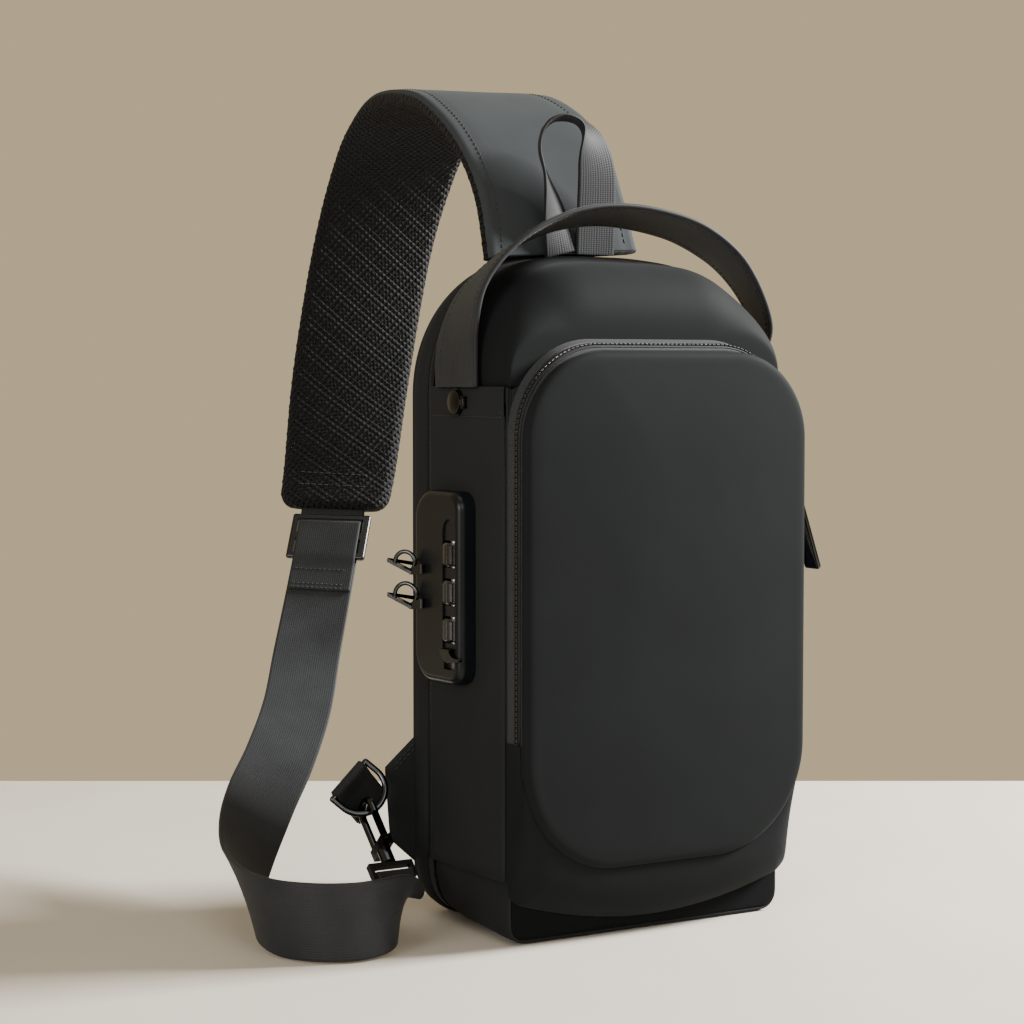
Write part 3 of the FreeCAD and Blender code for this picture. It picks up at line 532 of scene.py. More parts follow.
def gusset(name, part, cols, crown, wrinkle, node, seed=0.0, material=SIDE_CLOTH_PAINTED_LIGHT, onto_front=0.0):
    """A panel from the main zip forward, turned over the front edge."""
    radii = edge_radius(body_line(part, cols, FRONT_Y)[0][:, 1])
    rows, outs = zip(*(body_row(part, cols, ZIP_FRONT + (FRONT_Y + radii - ZIP_FRONT) * share)
                       for share in np.linspace(0, 1, 14)))
    shaped = cloth_rows(rows, outs, crown, 0.6, True, wrinkle, seed)
    turned = []
    ripple = shaped[-1] - rows[-1]
    for angle, keep in zip(TURNS, np.linspace(1, 0, len(TURNS))):
        y = FRONT_Y + radii * (1 - math.sin(angle))
        row, _ = body_row(part, cols, y, radii * (1 - math.cos(angle)))
        turned.append(row + ripple * keep)
    if onto_front:
        turned += [body_row(part, cols, FRONT_Y, radii + extra)[0]
                   for extra in np.linspace(0, onto_front, 5)[1:]]
    panel(name, on_floor(np.vstack([shaped, turned])), material, 1.4, node)


def front_strip(side, cols=60, depth=16.0):
    """The flat front of the body outside the pocket."""
    radii = edge_radius(body_line(side, cols, FRONT_Y)[0][:, 1])
    rows = []
    for extra in np.linspace(0, depth, 5):
        row, _ = body_row(side, cols, FRONT_Y, radii + extra - 0.3)
        row[:, 1] -= 0.25 * math.sin(math.pi * extra / depth)
        rows.append(row)
    panel("front_strip_" + side, rows, SIDE_CLOTH_PAINTED_LIGHT, 1.4, "front_wall")


def make_base_band():
    """The front of the base, under the chin, with its lower corners rounded."""
    radius, inset = FRONT_R[1], 2.2
    flat = HALF - radius
    xs = (HALF - inset) * np.sin(np.radians(np.linspace(-90, 90, 61)))
    lows = [radius - math.sqrt(max(0.0, (radius - inset) ** 2 - max(0.0, abs(x) - flat) ** 2))
            for x in xs]
    rows = []
    for share in np.linspace(0, 1, 12):
        row = []
        for x, low in zip(xs, lows):
            z = low + (SEAM_Z + 4 - low) * share
            ease = math.sin(math.pi * share) * 0.6 + wobble((x, 0, z), 30, 0.4, 17.0)
            row.append((x, FRONT_Y - ease * math.sin(math.pi * share), z))
        rows.append(row)
    panel("base_band", rows, BASE_CLOTH_PAINTED_SHADE, 1.2, "base_band")


def welt(name, path, radius, out, slot="shell_fabric", material=SIDE_CLOTH_PAINTED_LIGHT, closed=False):
    """A thin corded edge sewn along a seam."""
    stand_for(mesh_piece(name, *tube(path, radius, out, 8, closed), material), slot)


def spine_rings(outline, low, high, shares):
    """Rings of an outline drawn in towards an upright line in its middle."""
    spine = np.stack([np.zeros(len(outline)), np.clip(outline[:, 1], low, high)], axis=1)
    return [spine + (outline - spine) * s for s in shares]


def closed_fill(name, rings, material):
    """A surface of nested upright rings, the last of them drawn together."""
    points = np.array(rings)[:, :-1]
    flat = points.reshape(-1, 3)
    weave = np.stack([flat[:, 0], flat[:, 2], np.zeros(len(flat))], axis=1) * MM
    faces = grid_faces(*points.shape[:2], True)
    return mesh_weld(mesh_piece(name, flat, faces, material, weave), 0.4)


def mesh_weld(piece, distance):
    bm = bmesh.new()
    bm.from_mesh(piece.data)
    bmesh.ops.remove_doubles(bm, verts=bm.verts, dist=distance * MM)
    bmesh.ops.recalc_face_normals(bm, faces=bm.faces)
    bm.to_mesh(piece.data)
    bm.free()
    piece.data.shade_smooth()
    return piece


def make_body():
    gusset("upper_shell", "top", 90, 2.0, 0.5, "top_gusset", 3.0, FRONT_CLOTH, 22.0)
    gusset("left_gusset", "left", 60, 0.3, 0.35, "left_gusset")
    gusset("right_gusset", "right", 60, 1.2, 0.6, "right_gusset", 5.0)
    gusset("base_panel", "base", 80, 0.4, 0.3, "base_panel", 9.0)
    for side in ("left", "right"):
        front_strip(side)
    make_base_band()
    make_back()
    make_main_zip()
    for side, sign in (("left", -1.0), ("right", 1.0)):
        path, out = body_path(side, 60, FRONT_Y + 0.8, 0.5)
        welt("front_welt_" + side, path, 0.75, out)
        seam = at_depth(np.tile([sign * (HALF - 0.5), SEAM_Z], (24, 1)),
                        np.linspace(ZIP_FRONT, FRONT_Y + 1.0, 24))
        welt("base_seam_" + side, seam, 0.8, facing((sign, 0, 0), seam))


BACK_SHARES = (1.0, 0.985, 0.96, 0.9, 0.8, 0.65, 0.5, 0.35, 0.2, 0.1, 0.0)
BACK_EDGE = 3.6                           # radius of the back's rounded edge


def make_back():
    cols = 200
    rows, outs = zip(*(body_row("all", cols, y)
                       for y in np.linspace(ZIP_BACK + 0.4, BACK_Y - BACK_EDGE, 5)))
    shaped = cloth_rows(rows, outs, 0.8, 0.5, False, 0.3, 7.0)
    turned = [body_row("all", cols, BACK_Y - BACK_EDGE * (1 - math.sin(angle)),
                       BACK_EDGE * (1 - math.cos(angle)))[0]
              for angle in np.radians([15, 35, 55, 75, 90])]
    panel("back_rim", on_floor(np.vstack([shaped, turned])), SIDE_CLOTH_PAINTED_LIGHT, 1.4, "back_rim")
    flats = spine_rings(body_outline(BACK_Y, 4.4), 60, 260, BACK_SHARES)
    rings = [at_depth(flat, BACK_Y - 0.9 + 1.3 * (1 - s ** 6))
             for s, flat in zip(BACK_SHARES, flats)]
    back = closed_fill("back_panel", rings, SIDE_CLOTH_PAINTED_LIGHT)
    thicken(back, 1.4)
    stand_for(back, "shell_fabric", "back_panel")
    path, out = body_path("all", cols, BACK_Y - 0.4, 3.9)
    welt("back_welt", path[:-1], 1.2, out[:-1], closed=True)


def make_main_zip():
    rows = [body_row("all", 220, y, 0.9)[0]
            for y in np.linspace(ZIP_FRONT - 0.6, ZIP_BACK + 0.8, 7)]
    panel("main_zip_tape", rows, TAPE, 0.8, "main_zip_tape", "zip_tape", False)
    path, out = body_path("arch", 560, (ZIP_FRONT + ZIP_BACK) / 2, 0.7)
    coil("main_zip_teeth", path, out, 1.3, 0.7)
    for name, y in (("front", ZIP_FRONT + 0.2), ("back", ZIP_BACK - 0.1)):
        path, out = body_path("arch", 200, y, -0.05)
        welt("zip_edge_" + name, path, 0.7, out)


# a tooth's bridge over the zip's line: across and rise, as shares
TOOTH = ((-1.0, 0.0), (-0.8, 0.6), (-0.25, 0.9), (0.25, 1.0), (0.8, 0.6), (1.0, 0.0))


def coil(name, path, out, half, rise):
    """Interlocked coil teeth: a low rounded bridge for each turn, across the zip's line."""
    along = frames_along(path)
    across = np.cross(out, along)
    step = np.linalg.norm(np.diff(path, axis=0), axis=1).mean()
    verts, faces = [], []
    for i, point in enumerate(path):
        lean = 0.22 * step * (1 if i % 2 else -1)
        for part in (-0.36, 0.36):
            for a, h in TOOTH:
                width = part * (1.0 if abs(a) < 0.9 else 0.7)
                verts.append(point + across[i] * a * half + out[i] * h * rise
                             + along[i] * (width * step + lean * a))
        base = 2 * len(TOOTH) * i
        for c in range(base, base + len(TOOTH) - 1):
            faces.append((c, c + 1, c + 1 + len(TOOTH), c + len(TOOTH)))
    piece = mesh_piece(name, verts, faces, TEETH)
    thicken(piece, 0.35)
    stand_for(piece, "zip_tape", name)


# ---- front pocket -----------------------------------------------------------------------
KNIT_BACK, KNIT_FRONT = FRONT_Y + 1.5, COVER_BACK + 1.0
POCKET_ZIP_Y = -54.7


def pocket_row(y, end, count, grow):
    """The pocket's arch at depth y, above height end: it leans in towards the cover."""
    share = (FRONT_Y - y) / (FRONT_Y - KNIT_FRONT)
    outline = rounded_outline(82.7 - 1.6 * share + grow, 37.0, 297.0 - 6.3 * share + grow,
                              47.0 - 2.0 * share, 55.0, 40)
    wanted = np.linspace(cut_at(outline, end, 1), cut_at(outline, end, -1), count)
    return at_depth(at_distances(outline, travelled(outline), wanted), y)


def arch_out(row):
    tangent = unit(np.gradient(row, axis=0))
    return np.stack([tangent[:, 2], np.zeros(len(row)), -tangent[:, 0]], axis=1)


def make_pocket():
    rows = []
    for share in np.linspace(0, 1, 9):
        y = KNIT_BACK + (KNIT_FRONT - KNIT_BACK) * share
        rows.append(pocket_row(y, POCKET_ZIP_END - 2, 220, 0.7 * math.sin(math.pi * share)))
    panel("pocket_side_wall", rows, KNIT, 1.2, "pocket_side_wall", "pocket_side_cloth", False)
    for name, share, radius in (("back", 0.03, 0.7), ("front", 0.99, 0.8)):
        row = pocket_row(KNIT_BACK + (KNIT_FRONT - KNIT_BACK) * share, POCKET_ZIP_END - 1, 200, 0.3)
        welt("pocket_welt_" + name, row, radius, arch_out(row), "pocket_side_cloth")
    rows = [pocket_row(POCKET_ZIP_Y + shift, POCKET_ZIP_END, 220, 0.75)
            for shift in np.linspace(-2.6, 2.6, 5)]
    panel("pocket_zip_tape", rows, TAPE, 0.3, "pocket_zip_tape", "zip_tape", False)
    row = pocket_row(POCKET_ZIP_Y, POCKET_ZIP_END, 400, 0.95)
    coil("pocket_zip_teeth", row, arch_out(row), 1.1, 0.55)
    make_cover()
    make_chin()


def cover_line(inset):
    return rounded_outline(COVER_HALF - inset, COVER_BOTTOM + inset, COVER_TOP - inset,
                           COVER_R[0] - inset, COVER_R[1] - inset, 40)


# the cover's rolled edge: how far in from its outline, and how far out from its back
COVER_EDGE = ((4.5, -0.2), (1.2, 0.0), (0.35, 0.5), (0.0, 1.4), (0.1, 2.4), (0.8, 3.7), (2.0, 4.5),
              (3.6, 4.9), (6.0, 5.15))
COVER_SHARES = (0.97, 0.93, 0.87, 0.8, 0.7, 0.6, 0.5, 0.4, 0.3, 0.2, 0.1, 0.0)


def make_cover():
    """A foam-backed panel with a soft rounded edge, lightly crowned."""
    rings = [at_depth(cover_line(inset), COVER_BACK - rise) for inset, rise in COVER_EDGE]
    inset, rise = COVER_EDGE[-1]
    for s, flat in zip(COVER_SHARES, spine_rings(cover_line(inset), 110, 225, COVER_SHARES)):
        ring = at_depth(flat, COVER_BACK - rise - 2.6 * (1 - s ** 2.2))
        ring[:, 1] += [wobble(p, 60, 0.35, 2.0) for p in ring]
        rings.append(ring)
    cover = closed_fill("pocket_cover", rings, FRONT_CLOTH)
    subdivide(cover)
    stand_for(cover, "shell_fabric", "pocket_cover")


def in_halves(line, count):
    """Even points along a line of x and z, as many on each side of its middle."""
    shares = np.concatenate([np.linspace(0, 0.5, count // 2), np.linspace(0.5, 1, count // 2)[1:]])
    travel = travelled(line)
    return at_distances(line, travel, shares * travel[-1])


def chin_seam(count):
    """The smile-shaped lower seam, from the left end of the zip to its right end."""
    x_side, low_side, low_mid, turn = 82.6, 23.5, 8.8, 5.0
    xs = np.linspace(-x_side + turn, x_side - turn, 60)
    smile = low_mid + (low_side - low_mid) * (np.abs(xs) / x_side) ** 1.9
    left = [(-x_side, POCKET_ZIP_END - k * 8.0) for k in range(9)]
    left += [(-x_side, low_side + turn + 2), (-x_side + 0.5, low_side + 2.2)]
    right = [(-x, z) for x, z in reversed(left)]
    return in_halves(np.array(left + list(zip(xs, smile)) + right), count)


def chin_cover_edge(count):
    """The cover's lower edge between the same two ends."""
    flat = cover_line(1.0)
    low = flat[flat[:, 1] <= POCKET_ZIP_END]
    low = low[np.argsort(np.arctan2(low[:, 0], POCKET_ZIP_END + 40 - low[:, 1]))]
    end = COVER_HALF - 1.0
    return in_halves(np.vstack([[[-end, POCKET_ZIP_END]], low, [[end, POCKET_ZIP_END]]]), count)


def make_chin():
    low, high = chin_seam(160), chin_cover_edge(160)
    rows = []
    for angle in np.radians(np.linspace(0, 90, 15)):
        row = at_depth(low + (high - low) * (1 - math.cos(angle)),
                       FRONT_Y - 0.1 + (COVER_BACK - 0.4 - FRONT_Y) * math.sin(angle))
        for point in row:
            point[1] += wobble(point, 40, 0.5, 4.0) * math.sin(2 * angle)
        rows.append(row)
    panel("chin_panel", rows, FRONT_CLOTH, 1.4, "chin_panel", offset=1.0)
    path = at_depth(low, FRONT_Y - 0.3)
    welt("chin_seam", path, 0.7, facing((0, -1, 0), path))


# ---- side pocket ------------------------------------------------------------------------
# the hem's section: how far it stands out, and its height from the hem's lower or upper edge
HEM_LOW = ((-0.9, -1.0), (0.1, 0.3), (0.75, 1.6), (1.05, 4.5), (1.15, 8), (1.05, 12.5))
HEM_HIGH = ((0.95, -1.3), (0.6, -0.3), (0.0, 0.1), (-0.7, -0.3), (-0.9, -1.5), (-0.9, -9))


def make_side_pocket():
    low, high = span("side_pocket_panel")
    hem_low, hem_high = (corner[2] for corner in span("side_pocket_hem"))
    x, y_front, y_back = low[0] - 0.05, low[1] - 3.4, high[1] + 0.6
    ys = np.linspace(y_front, y_back, 40)
    edges = np.minimum(ys - y_front, y_back - ys)
    rows = []
    heights = np.concatenate([np.linspace(SEAM_Z + 0.4, 250, 40), np.linspace(252, hem_low + 3, 5)])
    for z in heights:
        row = []
        for y, edge in zip(ys, edges):
            near_lock = 1.0 if z < 232 else max(0.0, 1 - (z - 232) / 14)
            rise = 0.35 * (1 - near_lock) - 0.75 * math.exp(-edge / 0.9)
            rise += wobble((x, y, z), 40, 0.25, 11.0) * (1 - near_lock)
            if y < -34 or z < 118:
                rise += wobble((x, y, z), 30, 0.3, 12.0)
            row.append((x - rise, y, z))
        rows.append(row)
    panel("side_pocket_panel", rows, SIDE_CLOTH_PAINTED_LIGHT, 0.9, "side_pocket_panel", smooth=False)
    rows = []
    for rise, z in ([(rise, hem_low + z) for rise, z in HEM_LOW]
                    + [(rise, hem_high + z) for rise, z in HEM_HIGH]):
        row = []
        for y, edge in zip(ys, edges):
            reach = rise
            if rise > 0:
                reach = (max(rise - 0.9 * math.exp(-edge / 1.2), -0.9)
                         + wobble((0, y, z), 22, 0.35, 13.0))
            row.append((x - reach, y, z))
        rows.append(row)
    panel("side_pocket_hem", rows, SIDE_CLOTH_PAINTED_LIGHT, 0.5, "side_pocket_hem")
    for z in (hem_low + 2.6, hem_low + 5.0):
        path = at_depth(np.tile([x - 1.02, z], (50, 1)), np.linspace(y_front + 1.5, y_back - 1, 50))
        stitching("hem_stitch_%d" % z, "shell_fabric",
                  [stitch_line(path, facing((-1, 0, 0), path))])


# ---- ribbons ----------------------------------------------------------------------------
def eased(values, count):
    """Points on a smooth curve through the given rows, with count steps between each pair."""
    values = np.asarray(values, float)
    ends = np.vstack([values[:1], values, values[-1:]])
    rows = []
    for i in range(1, len(ends) - 2):
        a, b, c, d = ends[i - 1:i + 3]
        for k in range(count):
            t = k / count
            rows.append(0.5 * (2 * b + (c - a) * t + (2 * a - 5 * b + 4 * c - d) * t * t
                               + (3 * b - a - 3 * c + d) * t ** 3))
    rows.append(ends[-2])
    return np.array(rows)


class Band:
    """A smooth ribbon's middle line, with its directions and distances in millimetres."""

    def __init__(self, stations, steps):
        rows = eased(stations, steps)
        travel = travelled(rows[:, :3])
        self.travel = np.linspace(0, travel[-1], len(rows))
        self.length = travel[-1]
        rows = at_distances(rows, travel, self.travel)
        self.at = rows[:, :3]
        self.along = unit(np.gradient(self.at, axis=0))
        across = rows[:, 3:6]
        self.across = unit(across - self.along * np.sum(across * self.along, axis=1, keepdims=True))
        self.out = np.cross(self.across, self.along)
        self.width = rows[:, 6]

    def point(self, i, side, level):
        """side is millimetres across from the middle, level is millimetres out from it."""
        return self.at[i] + self.across[i] * side + self.out[i] * level

    def line(self, side, level, first=0.0, last=None):
        """Points and outward directions along the band at one offset; side may be a function."""
        last = self.length if last is None else last
        picked = [i for i, t in enumerate(self.travel) if first <= t <= last]
        points = [self.point(i, side(self.width[i]) if callable(side) else side, level)
                  for i in picked]
        return np.array(points), self.out[picked]

    def cross_stitches(self, distance, half, levels, pitch, length, radius):
        """Rows of stitches across the band, on its outer and its inner face."""
        i = self.travel.searchsorted(distance)
        lines = []
        for level in levels:
            path = np.array([self.point(i, s, level) for s in np.linspace(-half, half, 24)])
            out = facing(self.out[i] * np.sign(level), path)
            lines.append(stitch_line(path, out, pitch, length, radius))
        return lines


def band_piece(name, band, section, material, last=None):
    """Sweeps a closed section along a band. section(i) gives rows of side, level."""
    last = band.length if last is None else last
    rows, weave = [], []
    for i, travel in enumerate(band.travel):
        if travel <= last + 1e-6:
            loop = section(i)
            rows.append([band.point(i, side, level) for side, level in loop])
            weave.append([(side, travel, 0) for side, _ in loop])
    count, cols = len(rows), len(rows[0])
    faces = grid_faces(count, cols, True)
    faces.append(tuple(reversed(range(cols))))
    faces.append(tuple((count - 1) * cols + c for c in range(cols)))
    return mesh_piece(name, np.array(rows).reshape(-1, 3), faces, material,
                      np.array(weave).reshape(-1, 3) * MM)


def strap_section(band, thickness, ribs, pitch=2.4, edge=0.5):
    """A webbing's section: flat faces with low ribs, and rounded selvedges."""
    def section(i):
        half, t = band.width[i] / 2, thickness / 2
        sides = np.linspace(-half + edge, half - edge, 33)
        rows = list(zip(sides, t + ribs * np.abs(np.sin(math.pi * sides / pitch)) - ribs))
        low = [(s, -level) for s, level in reversed(rows)]
        return np.array(low + [(-half, -t * 0.5), (-half, t * 0.5)] + rows
                        + [(half, t * 0.5), (half, -t * 0.5)])
    return section


def woven_sheet(name, band, section, material=WEBBING, slot="webbing",
                length=None):
    """A ribbon of webbing, in place of the CAD node of its name if there is one."""
    piece = band_piece(name, band, section, material, length)
    stand_for(piece, slot, *([name] if name in nodes else []))


# x, y, z of the handle's middle line, then its lean and its twist in degrees
HANDLE_ROUTE = (
    (-86.8, -4.5, 273.5, 0, 0), (-86.8, -4.5, 288, 0, 0), (-85, -5, 304, 2, 4),
    (-78.5, -5, 321, 5, 10), (-65.5, -6, 336, 8, 14), (-47.5, -8, 349, 10, 15),
    (-26, -9, 357.5, 11, 15), (-2, -9, 361, 11, 15), (24, -9, 359.5, 11, 15),
    (51, -9, 353, 11, 17), (75, -8, 340, 10, 20), (93, -6, 322, 7, 23),
    (102.5, -4, 304, 4, 23), (99.5, -2, 289, 0, 20), (86.8, -1, 273.5, 0, 12),
)
# the other routes give x, y, z, then the direction across the ribbon, then its width
LOOP_ROUTE = (
    (-4.5, 27.4, 342.4, 1, 0.02, 0, 20), (-9, 26.5, 362, 0.9, 0.4, 0, 21),
    (-15.5, 25, 382, 0.6, 0.8, 0, 23), (-20, 24, 397, 0.52, 0.85, 0, 24),
    (-17.5, 23, 407, 0.5, 0.86, 0, 24), (-9, 22.5, 412, 0.52, 0.85, 0, 24),
    (2, 22.5, 410, 0.75, 0.66, -0.1, 24), (10.5, 23, 401, 0.92, 0.38, -0.1, 24),
    (15.5, 24.5, 387, 1, 0.1, 0, 24), (16.5, 26, 367, 1, 0.02, 0, 24),
    (16.5, 27.4, 342.4, 1, 0.02, 0, 24),
)
PAD_ROUTE = (
    (0, 34, 342, 1, 0, 0, 94), (-2, 42, 372, 1, 0, 0.04, 90), (-4, 54, 396, 1, -0.06, 0.08, 87),
    (-5, 78, 416, 1, -0.12, 0.06, 84), (-4, 115, 430, 1, -0.14, 0.02, 80),
    (-1, 166, 431, 1, -0.13, -0.06, 77), (1, 201, 416, 1, -0.16, -0.09, 74),
    (2, 223, 394, 1, -0.22, -0.11, 72), (0, 239, 362, 1, -0.3, -0.11, 70),
    (-5, 247, 321, 1, -0.42, -0.09, 69), (-15, 245, 271, 1, -0.6, -0.08, 68),
    (-27, 234, 226, 1, -0.8, -0.06, 66), (-37, 224, 200, 1, -0.9, -0.05, 64),
)
WEB_ROUTE = (
    (-40, 221, 192), (-58, 202, 155), (-76, 182, 122), (-94, 159, 95), (-116, 136, 72),
    (-139, 112, 55), (-162, 82, 39), (-180, 50, 27), (-189, 20, 21.5), (-189, -6, 20),
    (-179, -25, 20), (-162, -35, 20), (-145, -34, 20.5), (-131, -25, 21), (-122, -12, 21),
    (-117, -1.8, 22),
)
WEB_ACROSS = (
    (0.74, -0.68, -0.03), (0.76, -0.64, -0.06), (0.8, -0.59, -0.11), (0.82, -0.53, -0.2),
    (0.83, -0.46, -0.32), (0.79, -0.37, -0.47), (0.64, -0.26, -0.72), (0.4, -0.2, -0.9),
    (0.2, -0.12, -0.97), (0.12, -0.1, -0.99), (0.1, -0.06, -0.99), (0.1, 0, -0.99),
    (0.1, 0.04, -0.99), (-0.1, 0.06, -0.99), (-0.6, 0.1, -0.79), (-0.98, 0.05, 0.15),
)
WEB_WIDTHS = (38,) * 12 + (37, 34, 27, 20)


def rounded_end(travel, length, radius):
    """How much a section narrows near a rounded far end: 1 before it, 0 at its tip."""
    share = 1 - min(radius, length - travel) / radius
    return math.sqrt(max(0.0, 1 - share * share))


def mesh_rise(u, v, height):
    """The raised diagonal bars of spacer mesh around its holes."""
    turn = 2 * math.pi / 4.4
    a = math.sin(turn * (u + BAR_LEAN * v))
    b = math.sin(turn * (BAR_LEAN * u - v))
    return -height * max(0.0, a * 0.5 + b * 0.5 + 0.15)


def make_strap_pad():
    """Spacer mesh and foam on the inside, a cloth facing on the outside."""
    band = Band(PAD_ROUTE, 44)
    ripple = 0.42

    def cushion(i):
        travel = band.travel[i]
        half = band.width[i] / 2 - 9.0 * (1 - rounded_end(travel, band.length, 10.0))
        tall = 0.35 + 0.65 * rounded_end(travel, band.length, 5.0)

        def edge(sign):
            rows = []
            for a in np.radians(np.linspace(-75, 75, 11))[::sign]:
                reach = 3.9 - mesh_rise(half + 4 * a, travel, ripple * 0.8)
                rows.append((sign * (half - 3.4 + reach * math.cos(a)),
                             (-0.3 + 3.6 * math.sin(a)) * tall))
            return rows

        inner = np.linspace(-half + 3.2, half - 3.2, 60)
        under = [(s, (-4.0 - 0.9 * (1 - (s / half) ** 2) + mesh_rise(s, travel, ripple)) * tall)
                 for s in inner]
        return np.array(under + edge(1) + [(s, 3.1 * tall) for s in inner[::-4]] + edge(-1))

    def outside(i):
        end = rounded_end(band.travel[i], band.length - 4.0, 12.0)
        half = band.width[i] / 2 - 0.2 - 10.0 * (1 - end)
        rim = [(half - 2.0, 0.2), (half - 0.4, 0.6), (half, 1.6), (half - 0.5, 3.0)]
        loop = [(-s, level) for s, level in rim]
        for s in np.linspace(-half + 1.8, half - 1.8, 34):
            seam = 0.6 * math.exp(-((half - abs(s) - 8.0) / 1.1) ** 2)
            puff = 1.0 * (1 - (s / half) ** 6)
            loop.append((s, 4.0 + puff - seam + wobble(band.point(i, s, 0), 38, 0.3, 21.0)))
        return np.array((loop + rim[::-1])[::-1])

    mesh = band_piece("strap_mesh", band, cushion, MESH)
    stand_for(mesh, "air_mesh", "strap_mesh")
    cover = band_piece("strap_pad", band, outside, PAD_CLOTH_PAINTED_LIGHT, band.length - 4.0)
    stand_for(cover, "shell_fabric", "strap_pad")
    lines = []
    for sign in (-1, 1):
        path, out = band.line(lambda w: sign * (w / 2 - 8.2), 4.5, 4.0, band.length - 14.0)
        lines.append(stitch_line(path, out, 3.4, 2.4, 0.24))
    for shift in (14.0, 22.0):
        lines += band.cross_stitches(band.length - shift, 22, (5.0, -4.9), 3.4, 2.4, 0.24)
    stitching("strap_pad_stitches", "shell_fabric", lines)


def make_webbing():
    stations = [point + across + (width,)
                for point, across, width in zip(WEB_ROUTE, WEB_ACROSS, WEB_WIDTHS)]
    end, before = (np.array(row[:3]) for row in (PAD_ROUTE[-1], PAD_ROUTE[-2]))
    sewn_in = 8.0
    start = tuple(end + unit(before - end) * sewn_in) + PAD_ROUTE[-1][3:6] + (38,)
    tongue = Band([start, PAD_ROUTE[-1][:6] + (38,), stations[0]], 8)
    woven_sheet("strap_tongue", tongue, strap_section(tongue, 1.8, 0.15, 1.6),
                WEBBING_BLACK)
    band = Band(stations, 24)
    woven_sheet("strap_webbing", band, strap_section(band, 1.8, 0.08))
    plain = strap_section(band, 1.5, 0.08)

    def ply(i):
        over_buckle = np.clip((30.0 - band.travel[i]) / 8.0, 0, 1)
        level = 1.62 + 1.2 * over_buckle * over_buckle * (3 - 2 * over_buckle)
        return plain(i) * (0.97, 1.0) - (0, level)

    fold_end = 46.0
    woven_sheet("strap_fold_ply", band, ply, length=fold_end)
    lines = []
    for shift in (2.0, 4.4, 14.0):
        lines += band.cross_stitches(fold_end - shift, 16.5, (0.85, -2.4), 2.6, 1.9, 0.22)
    stitching("strap_fold_stitches", "webbing", lines)


def make_handle():
    stations = []
    for x, y, z, lean, twist in HANDLE_ROUTE:
        lean, twist = math.radians(lean), math.radians(twist)
        stations.append((x, y, z, math.sin(twist) * math.cos(lean),
                         math.cos(twist) * math.cos(lean), -math.sin(lean), 38.0))
    band = Band(stations, 16)
    woven_sheet("carry_handle", band, strap_section(band, 2.4, 0.08, 2.4, 0.7))
    for sign, name in ((-1, "front"), (1, "back")):
        path, out = band.line(sign * 18.4, 0.0)
        welt("handle_edge_" + name, path, 1.25, out, "webbing", WEBBING)
    lines = []
    for side in (-14.5, 14.5):
        for level in (1.15, -1.15):
            path, out = band.line(side, level, 3.0, band.length - 3.0)
            lines.append(stitch_line(path, out * np.sign(level), 3.2, 2.3, 0.22))
    stitching("handle_stitches", "webbing", lines)


def make_hang_loop():
    band = Band(LOOP_ROUTE, 20)
    woven_sheet("hang_loop", band, strap_section(band, 1.6, 0.08, 2.0),
                WEBBING_BLACK)


# ---- wings, ring tabs and the strap's end ------------------------------------------------
def make_wing(side, sign):
    """A triangle of cloth sewn into the back seam."""
    name = "wing_tab_" + side
    low, high = span(name)
    inner, outer = sorted((abs(low[0]), abs(high[0])))
    y = (low[1] + high[1]) / 2
    rows, cols = 26, 40
    downs = np.linspace(0, 1, cols // 2)
    points = []
    for share in np.linspace(0, 1, rows):
        top = np.array([inner + (outer - inner) * share, 93 - 15 * share])
        foot = np.array([inner + (outer - 3 - inner) * share, 27 + 13 * share])
        for face, run in ((-1, downs), (1, downs[::-1])):
            for t in run:
                puff = 1.5 * min(1.0, 0.25 + (4 * t * (1 - t)) ** 0.4) * (1 - 0.5 * share ** 8)
                x, z = top + (foot - top) * t
                points.append((sign * x, y + face * puff, z))
    faces = grid_faces(rows, cols, True)
    faces.append(tuple(range(cols)))
    faces.append(tuple((rows - 1) * cols + c for c in reversed(range(cols))))
    flat = np.array(points)
    piece = mesh_piece(name, flat, faces, SIDE_CLOTH_PAINTED_LIGHT, flat[:, [0, 2, 1]] * MM)
    stand_for(mesh_weld(piece, 0.01), "shell_fabric", name)
    lines = []
    for level in (-1, 1):
        for shift in (3.0, 5.4):
            a = (sign * (inner + 1.5), y + level * 1.25, 93 - shift - 0.8)
            b = (sign * (outer - 2.5), y + level * 1.25, 78 - shift + 1.6)
            path = np.linspace(a, b, 20)
            lines.append(stitch_line(path, facing((0, level, 0), path), 2.8, 2.0, 0.22))
    stitching(name + "_stitches", "shell_fabric", lines)


TAB_BEND = 2.42                           # radius of a tab's webbing round its bar


def folded_tab(name, origin, across, down, width, length):
    """Webbing folded round a bar and sewn to itself below it."""
    across = unit(across)
    down = unit(down - across * np.dot(across, down))
    out = np.cross(across, down)
    turns = np.radians(np.linspace(0, 180, 17))
    run = [(d, TAB_BEND - 1.45 * min(1.0, d / 6.5) + 0.05) for d in np.linspace(length, 1.5, 10)]
    line = run + [(-TAB_BEND * math.sin(a), TAB_BEND * math.cos(a)) for a in turns]
    line += [(d, -h) for d, h in reversed(run)]
    band = Band([(*(origin + down * d + out * h), *across, width) for d, h in line], 3)
    woven_sheet(name, band, strap_section(band, 1.4, 0.12, 1.6, 0.4),
                WEBBING_BLACK, "webbing_black")


def make_tabs():
    make_wing("left", -1)
    make_wing("right", 1)
    folded_tab("ring_tab_left", (-122, 44, 73), (0.73, 0, 0.683),
               (0.65, 0.15, -0.73), 22.0, 22.0)
    folded_tab("ring_tab_right", (116, BACK_Y - 2.5, 59), (0, 0, 1),
               (-1, 0, 0), 22.0, 16.0)
    down = -np.array([0, math.cos(math.radians(45)), math.sin(math.radians(45))])
    eye = np.array([-117.0, 8.0, 32.3])
    folded_tab("strap_end_fold", eye + down * 3.2, (1, 0, 0), down, 20.0, 8.0)


# ---- back pads --------------------------------------------------------------------------
PAD_RADIUS = 26.0
PAD_STITCH_IN, PAD_STITCH_OUT = 4.0, 4.1  # the pads' seam: in from the outline, off the back
